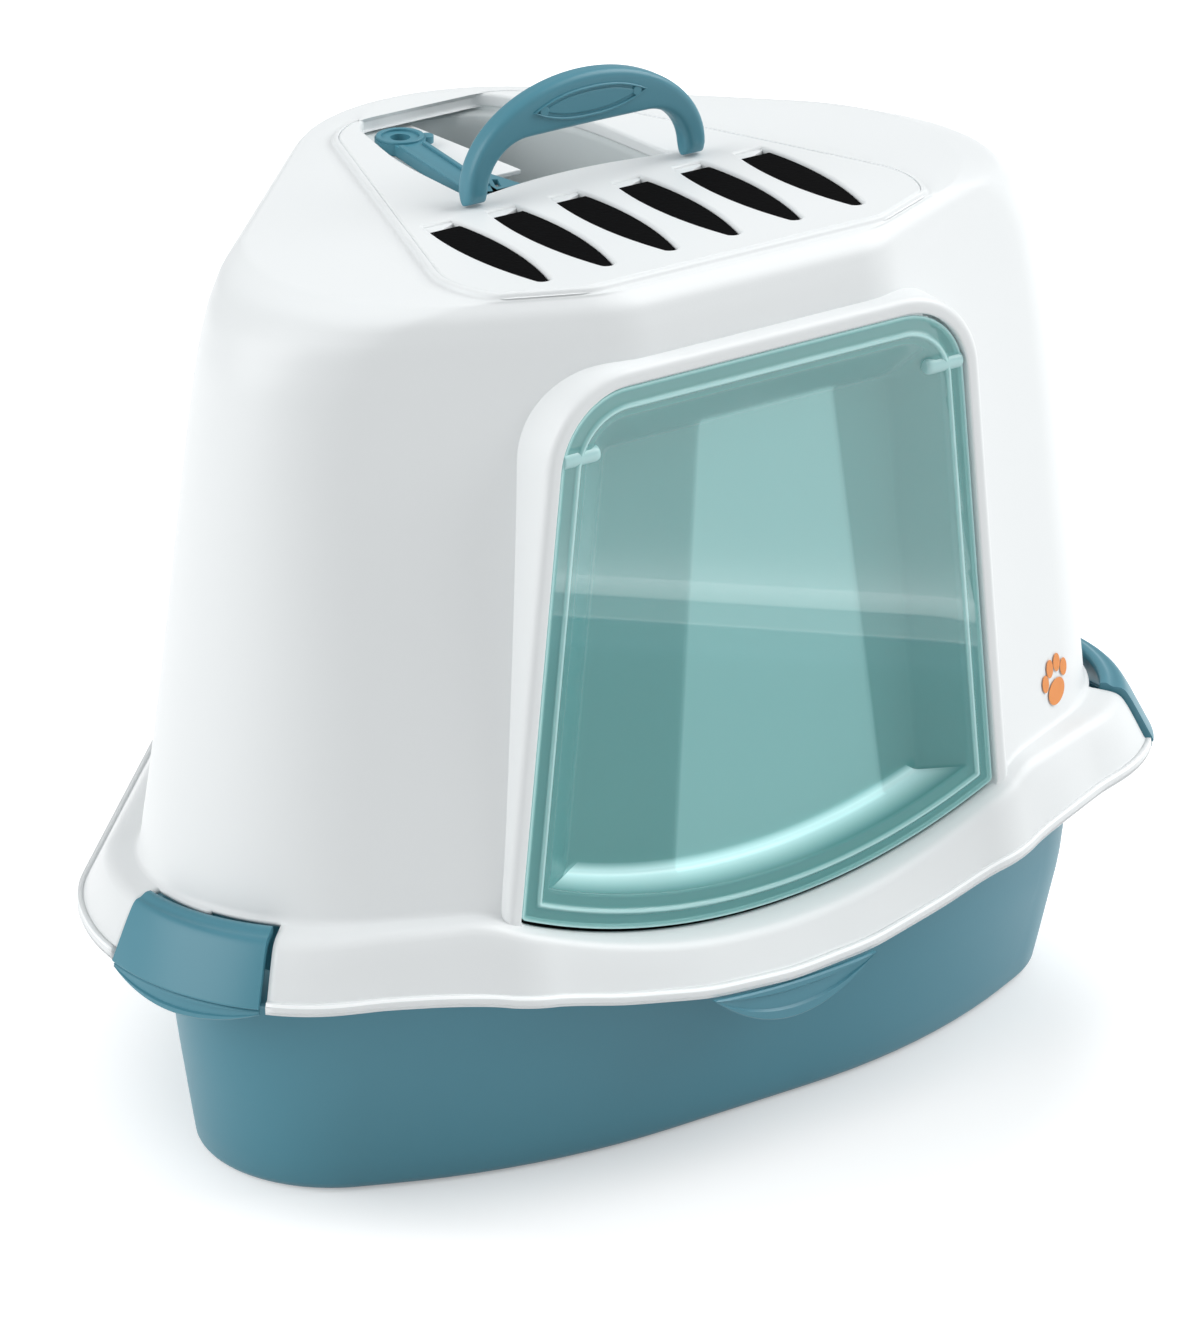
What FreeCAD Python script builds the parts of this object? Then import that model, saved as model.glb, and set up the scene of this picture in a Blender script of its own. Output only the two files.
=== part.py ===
import FreeCAD, Part
import math
import os

# Corner litter box with a hood, in millimetres. +Z is up, the front looks along -Y,
# and the origin is on the floor under the middle of the tray.

# Plan shape shared by tray and hood: two wings, slanted front flanks and a round back corner
wing_x = 172.0               # centre of each wing's round corner
wing_y = -95.0
flank_deg = 24.0             # turn of the front flanks away from the front
back_deg = 45.0              # turn of the two back walls, to fit a room's corner
back_centre_y = 4.0          # centre of the round back corner

# Walls and running clearances
hood_wall = 2.6
tray_wall = 2.8
skirt_wall = 2.8
seat_gap = 0.3               # between the hood's seat wall and the tray's rim
pin_gap = 0.06               # radial play of every hinge pin
side_gap = 0.5               # beside a hinged piece

# Hood walls, from the base to the roof: height, front, flank, back, front radius, wing radius.
# Flank and back are distances from the wings' centres.
hood_levels = [
    (144.0, -210.2, 92.6, 90.8, 40.0, 90.6),
    (200.0, -208.6, 87.0, 83.0, 45.0, 84.5),
    (260.0, -207.0, 80.0, 75.5, 50.0, 78.0),
    (330.0, -205.0, 71.0, 67.0, 60.0, 69.0),
    (380.0, -204.0, 63.5, 61.0, 60.0, 64.0),
    (408.0, -202.5, 59.0, 57.3, 60.0, 64.5),
    (424.0, -199.5, 56.0, 54.3, 60.0, 71.0),
    (432.0, -195.8, 53.0, 51.5, 60.0, 80.0),
    (436.0, -190.5, 49.5, 48.0, 60.0, 92.0),
]

# Tray walls, from the floor to above the rim, in the same order
tray_levels = [
    (0.0, -190.5, 65.0, 60.5, 360.0, 62.0),
    (3.0, -194.5, 69.2, 64.8, 358.0, 66.5),
    (14.0, -197.0, 72.0, 67.0, 355.0, 68.5),
    (60.0, -203.0, 82.0, 72.5, 350.0, 75.0),
    (140.0, -208.5, 90.5, 82.0, 340.0, 84.0),
]
floor_wall = 3.0

# Skirt of the hood: it leaves the wall at the crease and flares down over the tray's rim
crease_z = 150.0
sill_z = 111.5               # lowest point of the crease, under the door
edge_side_z = 120.5          # skirt's lower edge at the wings and the back
edge_front_z = 86.0          # and at the middle of the front, where it dips
edge_front_r = 470.0         # radius of that dip
front_y = -210.0
crease_flank = 92.0
crease_wing = 90.0
# Width of the skirt along the front by x, along a flank by share and round a wing by angle
front_rows = [(0.0, 26.5), (48.0, 25.0), (96.0, 19.5), (124.0, 17.0)]
flank_rows = [(0.12, 19.0), (0.5, 23.0), (1.0, 25.0)]
wing_rows = [(-54.0, 31.0), (-41.0, 35.0), (-20.0, 32.5), (1.0, 29.0), (22.0, 28.5), (45.0, 31.0)]
back_width = 33.0
# Height of its lower edge along a flank and round a wing
flank_edge_rows = [(0.12, 110.5), (0.5, 114.5), (1.0, 116.5)]
wing_edge_rows = [(-54.0, 117.5), (-41.0, 119.3), (-20.0, 120.5), (45.0, 120.5)]
front_steps = 6
flank_steps = 4
wing_steps = 9
back_corner_steps = 5

# Rim of the tray, under the skirt
rim_rise = 3.5               # rim's top above the skirt's lower edge
rim_wall = 3.0
rim_inset = 6.5              # rim's outer edge inside the skirt's lower edge
rim_reach = 13.0             # rim's inner edge inside the crease

# Swing door and the portal round it
door_top_z = 397.0
door_low_z = 114.5           # lowest point of the curved bottom edge
door_low_r = 341.0
door_half_x = 116.2          # half width at the height of the hinge
door_side_deg = 6.1
door_corner_r = 37.0
door_face_y = -209.0
door_wall = 2.4
door_gap = 1.5
hinge_y = -204.6
hinge_z = 368.0
hinge_r = 2.5
barrel_r = 4.4
barrel_length = 14.0
pin_reach = 5.0              # how far each door pin enters its socket
boss_half = 8.0
pan_rim = 14.0               # flat rim of the door outside its pressed panel
pan_low_rim = 17.0           # and along its curved bottom
pan_depth = 15.0
pan_lean = 20.0              # how far the pressed panel's walls lean in
pan_low_lean = 5.0           # and along its curved bottom
portal_rim = 9.0
portal_face_y = -211.0
portal_back_y = -150.0

# Ledge inside the hood, along its wings and back walls
ledge_z = 157.0
ledge_wall = 2.0
ledge_width = 24.0

# Raised top panel with its vents
panel_z = 440.0
panel_front_y = -187.0
panel_corner_r = 46.0
panel_side_x = 130.0         # half width at the place panel_side_y
panel_side_y = -122.0
panel_side_deg = 20.4        # turn of the panel's sides
panel_back_y = 78.0
panel_back_r = 40.0
vent_count = 6
vent_pitch = 36.3
vent_front_y = -165.0
vent_back_y = -72.0
vent_wide_y = -112.0
vent_half = 11.5
vent_back_half = 8.0
vent_front_half = 3.2

# Pocket for the scoop and for the fingers, behind the vents
bay_front_y = -46.0
bay_foot_y = -54.0
bay_half_x = 57.5
bay_mid_x = 55.5
bay_mid_y = 12.0
bay_back_x = 44.0
bay_back_y = 60.0
bay_end_y = 88.0
bay_floor_z = 352.0
bay_wall = 2.2
shelf_z = 430.0              # ledge on the left that carries the scoop
shelf_wall = 3.0
shelf_front_y = -30.0
shelf_right_x = -4.0

# Carry handle, upright over the front edge of the pocket
handle_y = -63.0
pivot_z = 447.2
handle_half_x = 69.5
handle_rise = 48.3           # from the pivots to the top
handle_leg = 11.5
handle_opening = 22.3        # from the pivots to the top of the hand opening
handle_opening_r = 22.0
handle_depth = 13.0
handle_pin_r = 2.4
lug_wall = 4.0
lug_r = 5.2

# Latches on the wings
latch_from_deg = -41.0
latch_to_deg = 1.0
latch_sections = 9
latch_proud = 2.4
latch_wall = 3.2
latch_start = 7.0            # latch's upper edge, outside the crease
latch_low_z = 121.6
latch_axis_share = 0.45      # place of the hinge line across the skirt
latch_axis_z = 146.0
latch_pin_r = 1.4
latch_pin_length = 5.0
knuckle_r = 3.2
knuckle_length = 7.0
ear_r = 2.8
ear_gap = 2.3                # from a latch's end to its ear
notch_start = 0.8            # notch in the skirt, outside the crease
notch_turn = 1.1             # extra turn of the notch at each end, in degrees

# Finger tabs of the tray: one at the front and one under each latch
tab_half_x = 48.0
tab_drop = 19.0
tab_wall = 2.6
tab_gap = 0.5                # under the skirt or the latch
latch_tab_drop = 10.5

# Scoop
scoop_head_x = -28.0
scoop_head_y = 51.0
scoop_head_r = 12.5
scoop_hole_r = 5.0
scoop_neck_x = -42.0
scoop_neck_y = -41.0
scoop_shaft = 15.0
scoop_wall = 5.5
scoop_gap = 0.3
blade_mid_x = -28.0
blade_width = 52.0
blade_low_z = 360.0
blade_wall = 2.4
blade_corner_r = 14.0
blade_slots = 6
blade_slot = 3.8
blade_slot_low = 12.0
blade_slot_high = 48.0

# Filter under the vents
filter_x = 226.0
filter_y = 96.0
filter_z = 7.0
filter_mid_y = -117.0
filter_gap = 0.3
holder_wall = 2.0
holder_lip = 8.0
holder_bars = 3

V = FreeCAD.Vector
up = V(0, 0, 1)
front = V(0, -1, 0)


def turned(degrees):
    angle = math.radians(degrees)
    return V(math.cos(angle), math.sin(angle), 0)


flank_normal = turned(flank_deg - 90)
back_normal = turned(back_deg)
wing_centre = V(wing_x, wing_y, 0)
back_centre = V(0, back_centre_y, 0)
roof_z = hood_levels[-1][0]
ceiling_z = roof_z - hood_wall


def crossing(normal_a, value_a, normal_b, value_b):
    # Point where two lines of a plane, each given by its normal and its distance, cross
    area = normal_a.x * normal_b.y - normal_a.y * normal_b.x
    x = (value_a * normal_b.y - value_b * normal_a.y) / area
    y = (normal_a.x * value_b - normal_b.x * value_a) / area
    return V(x, y, 0)


def line(a, b):
    return Part.LineSegment(a, b).toShape()


def arc(a, b, c):
    return Part.Arc(a, b, c).toShape()


def rounded_wire(corners, z):
    # Closed level wire through corners (x, y, radius), each rounded by an arc
    turns = []
    for i, (x, y, radius) in enumerate(corners):
        here = V(x, y, z)
        before = (V(*corners[i - 1][:2], z) - here).normalize()
        after = (V(*corners[(i + 1) % len(corners)][:2], z) - here).normalize()
        half = before.getAngle(after) / 2
        cut = radius / math.tan(half)
        middle = (before + after).normalize()
        reach = radius / math.sin(half) - radius
        turns.append((here + before * cut, here + middle * reach, here + after * cut))
    edges = []
    for i, (start, middle, end) in enumerate(turns):
        edges.append(arc(start, middle, end))
        edges.append(line(end, turns[(i + 1) % len(turns)][0]))
    return Part.Wire(edges)


def mirrored(shape):
    return shape.mirror(V(0, 0, 0), V(1, 0, 0))


def box(x0, x1, y0, y1, z0, z1):
    return Part.makeBox(x1 - x0, y1 - y0, z1 - z0, V(x0, y0, z0))


def cylinder_x(x0, x1, y, z, radius):
    return Part.makeCylinder(radius, x1 - x0, V(x0, y, z), V(1, 0, 0))


def plate(wire, height):
    return Part.Face(wire).extrude(up * height)


# Walls of tray and hood

def plan_wire(z, front_at, flank, back, front_r, wing_r, inset):
    # Outline of tray or hood at one height, drawn in by inset
    flank_line = wing_centre.dot(flank_normal) + flank - inset
    back_line = wing_centre.dot(back_normal) + back - inset
    front_corner = crossing(flank_normal, flank_line, front, -front_at - inset)
    wing = crossing(flank_normal, flank_line, back_normal, back_line)
    back_r = back_line - back_centre.dot(back_normal)
    corners = [
        (-front_corner.x, front_corner.y, front_r),
        (front_corner.x, front_corner.y, front_r),
        (wing.x, wing.y, wing_r - inset),
        (0.0, back_line / back_normal.y, back_r),
        (-wing.x, wing.y, wing_r - inset),
    ]
    return rounded_wire(corners, z)


def plan_loft(levels, ruled, inset=0.0, lowered=0.0):
    wires = [plan_wire(z - lowered, *sizes, inset) for z, *sizes in levels]
    return Part.makeLoft(wires, True, ruled)


# Rings that follow the crease: stations are (base, outward, width, lower edge)

def edge_dip(x):
    return edge_front_z + edge_front_r - math.sqrt(edge_front_r ** 2 - x ** 2)


def sill_dip(x):
    return sill_z + door_low_r - math.sqrt(door_low_r ** 2 - x ** 2)


def between(rows, value):
    # Straight interpolation in rows of (place, size)
    for (a, size_a), (b, size_b) in zip(rows, rows[1:]):
        if a <= value <= b:
            return size_a + (size_b - size_a) * (value - a) / (b - a)
    raise ValueError("place outside the rows")


def wing_station(degrees):
    out = turned(degrees)
    lower = between(wing_edge_rows, degrees)
    return wing_centre + out * crease_wing + up * crease_z, out, between(wing_rows, degrees), lower


def steps(rows, count):
    # Evenly spaced places from the first row to the last
    first = rows[0][0]
    last = rows[-1][0]
    return [first + (last - first) * i / count for i in range(count + 1)]


def right_stations():
    stations = []
    for x in steps(front_rows, front_steps):
        stations.append((V(x, front_y, sill_dip(x)), front, between(front_rows, x), edge_dip(x)))
    corner = crossing(flank_normal, wing_centre.dot(flank_normal) + crease_flank, front, -front_y)
    end = wing_centre + flank_normal * crease_flank
    for share in steps(flank_rows, flank_steps):
        base = corner + (end - corner) * share
        base.z = min(crease_z, sill_dip(base.x))
        stations.append((base, flank_normal, between(flank_rows, share), between(flank_edge_rows, share)))
    stations += [wing_station(degrees) for degrees in steps(wing_rows, wing_steps)]
    back_r = (wing_centre - back_centre).dot(back_normal) + crease_wing
    for i in range(back_corner_steps + 1):
        out = turned(back_deg + (90 - back_deg) * i / back_corner_steps)
        stations.append((back_centre + out * back_r + up * crease_z, out, back_width, edge_side_z))
    return stations


def all_stations():
    right = right_stations()
    left = []
    for base, out, width, lower in right[-2:0:-1]:
        left.append((V(-base.x, base.y, base.z), V(-out.x, out.y, 0), width, lower))
    return right + left


def section(station, points):
    # Closed profile of (outward, height) points at one station
    base, out = station[:2]
    placed = [base + out * along + up * height for along, height in points]
    return Part.makePolygon(placed + placed[:1])


def skirt_profile(station):
    base, out, width, lower = station
    drop = base.z - lower
    ledge = 0.36 * width
    bend = 0.52 * width
    flare = 0.62 * width
    return [
        (-hood_wall, 2.0),
        (0.0, 2.0),
        (ledge, -0.6),
        (bend, -2.6),
        (flare, -7.5),
        (width, -drop),
        (width - skirt_wall, -drop),
        (flare - skirt_wall, -8.4),
        (bend - 0.85 * skirt_wall, -2.6 - 0.85 * skirt_wall),
        (ledge - 0.5, -0.6 - skirt_wall),
        (-hood_wall, -0.6 - skirt_wall),
    ]


def seat_profile(station):
    base, out, width, lower = station
    low = lower + rim_rise + seat_gap - base.z
    return [(-hood_wall, 1.0), (0.0, 1.0), (0.0, low), (-hood_wall, low)]


def rim_profile(station):
    base, out, width, lower = station
    top = lower + rim_rise - base.z
    edge = width - rim_inset
    return [(-rim_reach, top), (edge, top), (edge, top - rim_wall), (-rim_reach, top - rim_wall)]


def lid_profile(station):
    # Room over the rim, which the tray's wall must not enter
    base, out, width, lower = station
    low = lower + rim_rise - rim_wall / 3 - base.z
    high = crease_z + rim_wall - base.z
    return [(-rim_reach, low), (width, low), (width, high), (-rim_reach, high)]


def ring(profile):
    return Part.makeLoft([section(s, profile(s)) for s in all_stations()], True, True, True)


def wing_loft(profile, first, last):
    step = (last - first) / (latch_sections - 1)
    stations = [wing_station(first + step * i) for i in range(latch_sections)]
    return Part.makeLoft([section(s, profile(s)) for s in stations], True, True)


# Outlines seen from the front or from above

def door_wire(grow, y, low_grow=None):
    # Outline of the door grown by a margin: straight top, leaning sides and a curved bottom
    if low_grow is None:
        low_grow = grow
    side = turned(door_side_deg)
    down = V(side.y, -side.x, 0)
    side_line = door_half_x * side.x + hinge_z * side.y + grow
    centre_z = door_low_z + door_low_r
    radius = door_low_r + low_grow
    foot = side_line - centre_z * side.y
    low_corner = V(0, centre_z, 0) + side * foot + down * math.sqrt(radius ** 2 - foot ** 2)
    top_corner = crossing(V(0, 1, 0), door_top_z + grow, side, side_line)
    corner_r = door_corner_r + grow
    half = math.radians(90 - door_side_deg) / 2
    cut = corner_r * math.tan(half)
    inward = (V(-1, 0, 0) + down).normalize()
    bend = top_corner + inward * (corner_r / math.cos(half) - corner_r)

    def at(point, side_sign):
        return V(side_sign * point.x, y, point.y)

    start = top_corner - V(cut, 0, 0)
    end = top_corner + down * cut
    low = V(0, centre_z - radius, 0)
    return Part.Wire([
        line(at(start, -1), at(start, 1)),
        arc(at(start, 1), at(bend, 1), at(end, 1)),
        line(at(end, 1), at(low_corner, 1)),
        arc(at(low_corner, 1), at(low, 1), at(low_corner, -1)),
        line(at(low_corner, -1), at(end, -1)),
        arc(at(end, -1), at(bend, -1), at(start, -1)),
    ])


def door_prism(grow, y0, y1):
    return Part.Face(door_wire(grow, y0)).extrude(V(0, y1 - y0, 0))


def vent_prism(x):
    def at(u, v):
        return V(x + u, v, ceiling_z - 1)

    tip = vent_front_y - vent_front_half / 2
    wire = Part.Wire([
        line(at(-vent_back_half, vent_back_y), at(vent_back_half, vent_back_y)),
        arc(at(vent_back_half, vent_back_y), at(vent_half, vent_wide_y), at(vent_front_half, vent_front_y)),
        arc(at(vent_front_half, vent_front_y), at(0, tip), at(-vent_front_half, vent_front_y)),
        arc(at(-vent_front_half, vent_front_y), at(-vent_half, vent_wide_y), at(-vent_back_half, vent_back_y)),
    ])
    return plate(wire, panel_z - ceiling_z + 2)


def panel_plate():
    side = turned(panel_side_deg)
    side_line = panel_side_x * side.x + panel_side_y * side.y
    near = crossing(V(0, 1, 0), panel_front_y, side, side_line)
    far = crossing(V(0, 1, 0), panel_back_y, side, side_line)
    corners = [
        (-near.x, near.y, panel_corner_r),
        (near.x, near.y, panel_corner_r),
        (far.x, far.y, panel_back_r),
        (-far.x, far.y, panel_back_r),
    ]
    return plate(rounded_wire(corners, roof_z - 1), panel_z - roof_z + 1)


def bay_prism(grow, z0, z1):
    def at(x, y):
        return V(x, y, z0)

    foot = at(bay_half_x + grow, bay_foot_y - grow)
    mid = at(bay_mid_x + grow, bay_mid_y)
    far = at(bay_back_x + grow, bay_back_y)
    near = at(0, bay_front_y - grow)
    end = at(0, bay_end_y + grow)
    left = [V(-p.x, p.y, p.z) for p in (foot, mid, far)]
    wire = Part.Wire([
        arc(left[0], near, foot),
        line(foot, mid),
        line(mid, far),
        arc(far, end, left[2]),
        line(left[2], left[1]),
        line(left[1], left[0]),
    ])
    return plate(wire, z1 - z0)


# Pieces

def make_tray():
    rim_top = edge_side_z + rim_rise
    lid_z = rim_top - rim_wall / 2
    wide = 2 * wing_x
    far = 2 * front_y
    lid = box(-wide, wide, far, -far, lid_z, crease_z)
    low = edge_front_z + rim_rise - rim_wall / 2
    dip_x = math.sqrt(edge_front_r ** 2 - (edge_front_r - (lid_z - low)) ** 2)
    dip = Part.Face(Part.Wire([
        arc(V(-dip_x, far, lid_z), V(0, far, low), V(dip_x, far, lid_z)),
        line(V(dip_x, far, lid_z), V(-dip_x, far, lid_z)),
    ])).extrude(V(0, wing_y - far, 0))
    inner_levels = [(floor_wall, *tray_levels[1][1:])] + tray_levels[2:]
    room = plan_loft(inner_levels, True, tray_wall)
    shell = plan_loft(tray_levels, True).cut([lid, dip]).cut(ring(lid_profile)).cut(room)
    rim = ring(rim_profile).cut(room)
    return shell.fuse(rim.fuse([front_tab(), latch_tab(), mirrored(latch_tab())]))


def front_tab():
    # Lens-shaped tab that hangs from the rim just under the skirt's edge
    face_y = front_y - front_rows[0][1]
    top = edge_dip(tab_half_x) - tab_gap
    middle = edge_front_z - tab_gap
    low = edge_front_z - tab_drop
    lens = Part.Face(Part.Wire([
        arc(V(-tab_half_x, face_y, top), V(0, face_y, middle), V(tab_half_x, face_y, top)),
        arc(V(tab_half_x, face_y, top), V(0, face_y, low), V(-tab_half_x, face_y, top)),
    ])).extrude(V(0, tab_wall, 0))
    reach = tab_half_x / 2
    rim_y = face_y + rim_inset
    web = box(-reach, reach, face_y, rim_y + rim_wall, middle - rim_wall, middle)
    root = box(-reach, reach, rim_y, rim_y + rim_wall, middle - rim_wall, middle + rim_rise)
    return lens.fuse([web, root])


def latch_tab():
    # Lens-shaped tab on the rim under a latch, between two arcs round the wing
    span = (latch_to_deg - latch_from_deg) / 2
    mid_deg = (latch_to_deg + latch_from_deg) / 2
    top = latch_low_z - tab_gap

    def drop_at(degrees):
        share = (degrees - mid_deg) / span
        return rim_wall + (latch_tab_drop - rim_wall) * (1 - share ** 2)

    def skin(station):
        base, out, width, lower = station
        degrees = math.degrees(math.atan2(out.y, out.x))
        low = top - drop_at(degrees)
        edge = width + latch_proud / 2
        return [
            (edge, top - base.z),
            (edge, low - base.z),
            (edge - tab_wall, low - base.z),
            (edge - tab_wall, top - base.z),
        ]

    def web(station):
        base, out, width, lower = station
        edge = width + latch_proud / 2
        inner = width - rim_inset - rim_wall
        return [
            (inner, top - base.z),
            (edge - tab_wall / 2, top - base.z),
            (edge - tab_wall / 2, top - rim_wall + 0.5 - base.z),
            (inner, top - rim_wall + 0.5 - base.z),
        ]

    return wing_loft(skin, latch_from_deg, latch_to_deg).fuse(wing_loft(web, latch_from_deg, latch_to_deg))


def latch_profile(outer, inner, start):
    # Latch section over the skirt; outer and inner are its faces beside the skirt's outer face
    def points(station):
        base, out, width, lower = station
        drop = base.z - latch_low_z
        return [
            (start, 1.6),
            (0.36 * width + outer, 1.6),
            (0.56 * width + outer, -0.8),
            (0.66 * width + outer, -6.0),
            (width + outer, -drop),
            (width + inner, -drop),
            (0.64 * width + inner, -8.0),
            (0.53 * width + inner, -3.8),
            (0.36 * width + inner, -2.2),
            (start, -2.2),
        ]

    return points


def latch_axis():
    ends = []
    for degrees in (latch_from_deg, latch_to_deg):
        base, out, width, lower = wing_station(degrees)
        ends.append(base + out * (latch_axis_share * width) + up * (latch_axis_z - crease_z))
    return ends[0], ends[1], (ends[1] - ends[0]).normalize()


def make_latch():
    low_end, high_end, along = latch_axis()
    skin = wing_loft(latch_profile(latch_proud, latch_proud - latch_wall, latch_start), latch_from_deg, latch_to_deg)
    knuckles = []
    for end, inward in ((low_end, along), (high_end, along * -1)):
        knuckles.append(Part.makeCylinder(knuckle_r, knuckle_length, end + inward * side_gap, inward))
        pin_length = latch_pin_length + knuckle_length
        knuckles.append(Part.makeCylinder(latch_pin_r, pin_length, end - inward * latch_pin_length, inward))
    return skin.fuse(knuckles)


def latch_notch():
    # Room for a latch in the skirt, and for its upper edge as it turns
    def room(station):
        base, out, width, lower = station
        low = lower - base.z - 5
        return [(notch_start, 6.0), (width + 9, 6.0), (width + 9, low), (notch_start, low)]

    return wing_loft(room, latch_from_deg - notch_turn, latch_to_deg + notch_turn)


def latch_ears():
    # Ears under the skirt, beside the notch, with holes for the latch's pins
    low_end, high_end, along = latch_axis()
    ears = []
    holes = []
    for end, outward in ((low_end, along * -1), (high_end, along)):
        ears.append(Part.makeCylinder(ear_r, latch_pin_length, end + outward * ear_gap, outward))
        holes.append(Part.makeCylinder(latch_pin_r + pin_gap, 2 * latch_pin_length, end, outward))
    return ears, holes


def make_hood():
    shell = plan_loft(hood_levels, False)
    shell = shell.fuse([panel_plate(), door_prism(portal_rim, portal_face_y, portal_back_y)])
    cup = bay_prism(bay_wall, bay_floor_z - bay_wall, panel_z)
    shell = shell.cut(plan_loft(hood_levels, False, hood_wall, hood_wall).cut(cup))
    shell = shell.cut(door_prism(portal_rim - hood_wall, portal_face_y + hood_wall, portal_back_y))
    shelf = bay_prism(bay_wall / 2, shelf_z - shelf_wall, shelf_z)
    shelf = shelf.common(box(-wing_x, shelf_right_x, shelf_front_y, -wing_y, 0, panel_z))
    shell = shell.cut(bay_prism(0.0, bay_floor_z, panel_z + 1).cut(shelf))
    shell = shell.cut([vent_prism(vent_pitch * (i - (vent_count - 1) / 2)) for i in range(vent_count)])
    shell = shell.fuse(handle_lugs() + [hood_ledge()])
    notch = latch_notch()
    ears, ear_holes = latch_ears()
    skirt = ring(skirt_profile).fuse(ring(seat_profile)).cut([notch, mirrored(notch)])
    skirt = skirt.fuse(ears + [mirrored(ear) for ear in ears])
    skirt = skirt.cut(ear_holes + [mirrored(hole) for hole in ear_holes])
    bosses, pin_holes = hinge_bosses()
    return shell.fuse(skirt).fuse(bosses).cut(pin_holes + [door_prism(door_gap, 2 * front_y, portal_back_y)])


def hood_ledge():
    low, high = hood_levels[:2]
    share = (ledge_z - low[0]) / (high[0] - low[0])
    sizes = [a + (b - a) * share for a, b in zip(low[1:], high[1:])]
    slab = plate(plan_wire(ledge_z, *sizes, hood_wall / 2), ledge_wall)
    room = plate(plan_wire(ledge_z, *sizes, ledge_width), ledge_wall)
    wide = 2 * wing_x
    return slab.cut([room, box(-wide, wide, 2 * front_y, wing_y, ledge_z, ledge_z + ledge_wall)])


def hinge_bosses():
    # Sockets for the door's pins, on the inner sides of the portal
    near = door_half_x + door_gap
    far = door_half_x + portal_rim - hood_wall / 2
    low_y = portal_face_y + hood_wall / 2
    boss = box(near, far, low_y, hinge_y + boss_half, hinge_z - boss_half, hinge_z + boss_half)
    hole = cylinder_x(near - 1, near + pin_reach + side_gap, hinge_y, hinge_z, hinge_r + pin_gap)
    return [boss, mirrored(boss)], [hole, mirrored(hole)]


def handle_lugs():
    # Upright lugs that stand inside the handle's feet, each with its own pin
    lugs = []
    foot_x = handle_half_x - handle_leg / 2
    for x in (-foot_x, foot_x):
        side = (x - lug_wall / 2, x + lug_wall / 2)
        lugs.append(cylinder_x(*side, handle_y, pivot_z, lug_r))
        lugs.append(box(*side, handle_y - lug_r, handle_y + lug_r, roof_z, pivot_z))
        half = handle_leg / 2 - side_gap
        lugs.append(cylinder_x(x - half, x + half, handle_y, pivot_z, handle_pin_r))
    return lugs


def make_door():
    back_y = door_face_y + door_wall
    pan_y = door_face_y + pan_depth
    outer = Part.makeLoft([
        door_wire(door_wall - pan_rim, door_face_y, door_wall - pan_low_rim),
        door_wire(door_wall - pan_rim - pan_lean, pan_y + door_wall, door_wall - pan_low_rim - pan_low_lean),
    ], True, True)
    inner = Part.makeLoft([
        door_wire(-pan_rim, door_face_y, -pan_low_rim),
        door_wire(-pan_rim - pan_lean, pan_y, -pan_low_rim - pan_low_lean),
    ], True, True)
    body = door_prism(0.0, door_face_y, back_y).fuse(outer).cut(inner)
    stubs = []
    for sign in (-1, 1):
        end = door_half_x - side_gap
        near, far = sorted((sign * (end - barrel_length), sign * end))
        stubs.append(cylinder_x(near, far, hinge_y, hinge_z, barrel_r))
        pin_near, pin_far = sorted((sign * (end - 1), sign * (door_half_x + door_gap + pin_reach)))
        stubs.append(cylinder_x(pin_near, pin_far, hinge_y, hinge_z, hinge_r))
    return body.fuse(stubs)


def make_handle():
    # Flat arch whose feet end in half rounds about the pivots
    def at(x, z):
        return V(x, handle_y - handle_depth / 2, z)

    top = pivot_z + handle_rise
    inner = handle_half_x - handle_leg
    inner_top = pivot_z + handle_opening
    turn = handle_opening_r * (1 - math.sqrt(0.5))
    ellipse = Part.Ellipse(at(handle_half_x, pivot_z), at(0, top), at(0, pivot_z))
    arch = Part.Wire([
        Part.ArcOfEllipse(ellipse, 0, math.pi).toShape(),
        line(at(handle_half_x, pivot_z), at(inner, pivot_z)),
        line(at(inner, pivot_z), at(inner, inner_top - handle_opening_r)),
        arc(
            at(inner, inner_top - handle_opening_r),
            at(inner - turn, inner_top - turn),
            at(inner - handle_opening_r, inner_top),
        ),
        line(at(inner - handle_opening_r, inner_top), at(handle_opening_r - inner, inner_top)),
        arc(
            at(handle_opening_r - inner, inner_top),
            at(turn - inner, inner_top - turn),
            at(-inner, inner_top - handle_opening_r),
        ),
        line(at(-inner, inner_top - handle_opening_r), at(-inner, pivot_z)),
        line(at(-inner, pivot_z), at(-handle_half_x, pivot_z)),
    ])
    body = Part.Face(arch).extrude(V(0, handle_depth, 0))
    feet = []
    cuts = []
    low = pivot_z - handle_depth
    foot_x = handle_half_x - handle_leg / 2
    for x in (-foot_x, foot_x):
        half = lug_wall / 2 + side_gap
        slot_top = pivot_z + lug_r + side_gap
        feet.append(cylinder_x(x - handle_leg / 2, x + handle_leg / 2, handle_y, pivot_z, handle_depth / 2))
        cuts.append(box(x - half, x + half, handle_y - handle_depth, handle_y + handle_depth, low, slot_top))
        cuts.append(cylinder_x(x - handle_leg, x + handle_leg, handle_y, pivot_z, handle_pin_r + pin_gap))
    return body.fuse(feet).cut(cuts)


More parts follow.
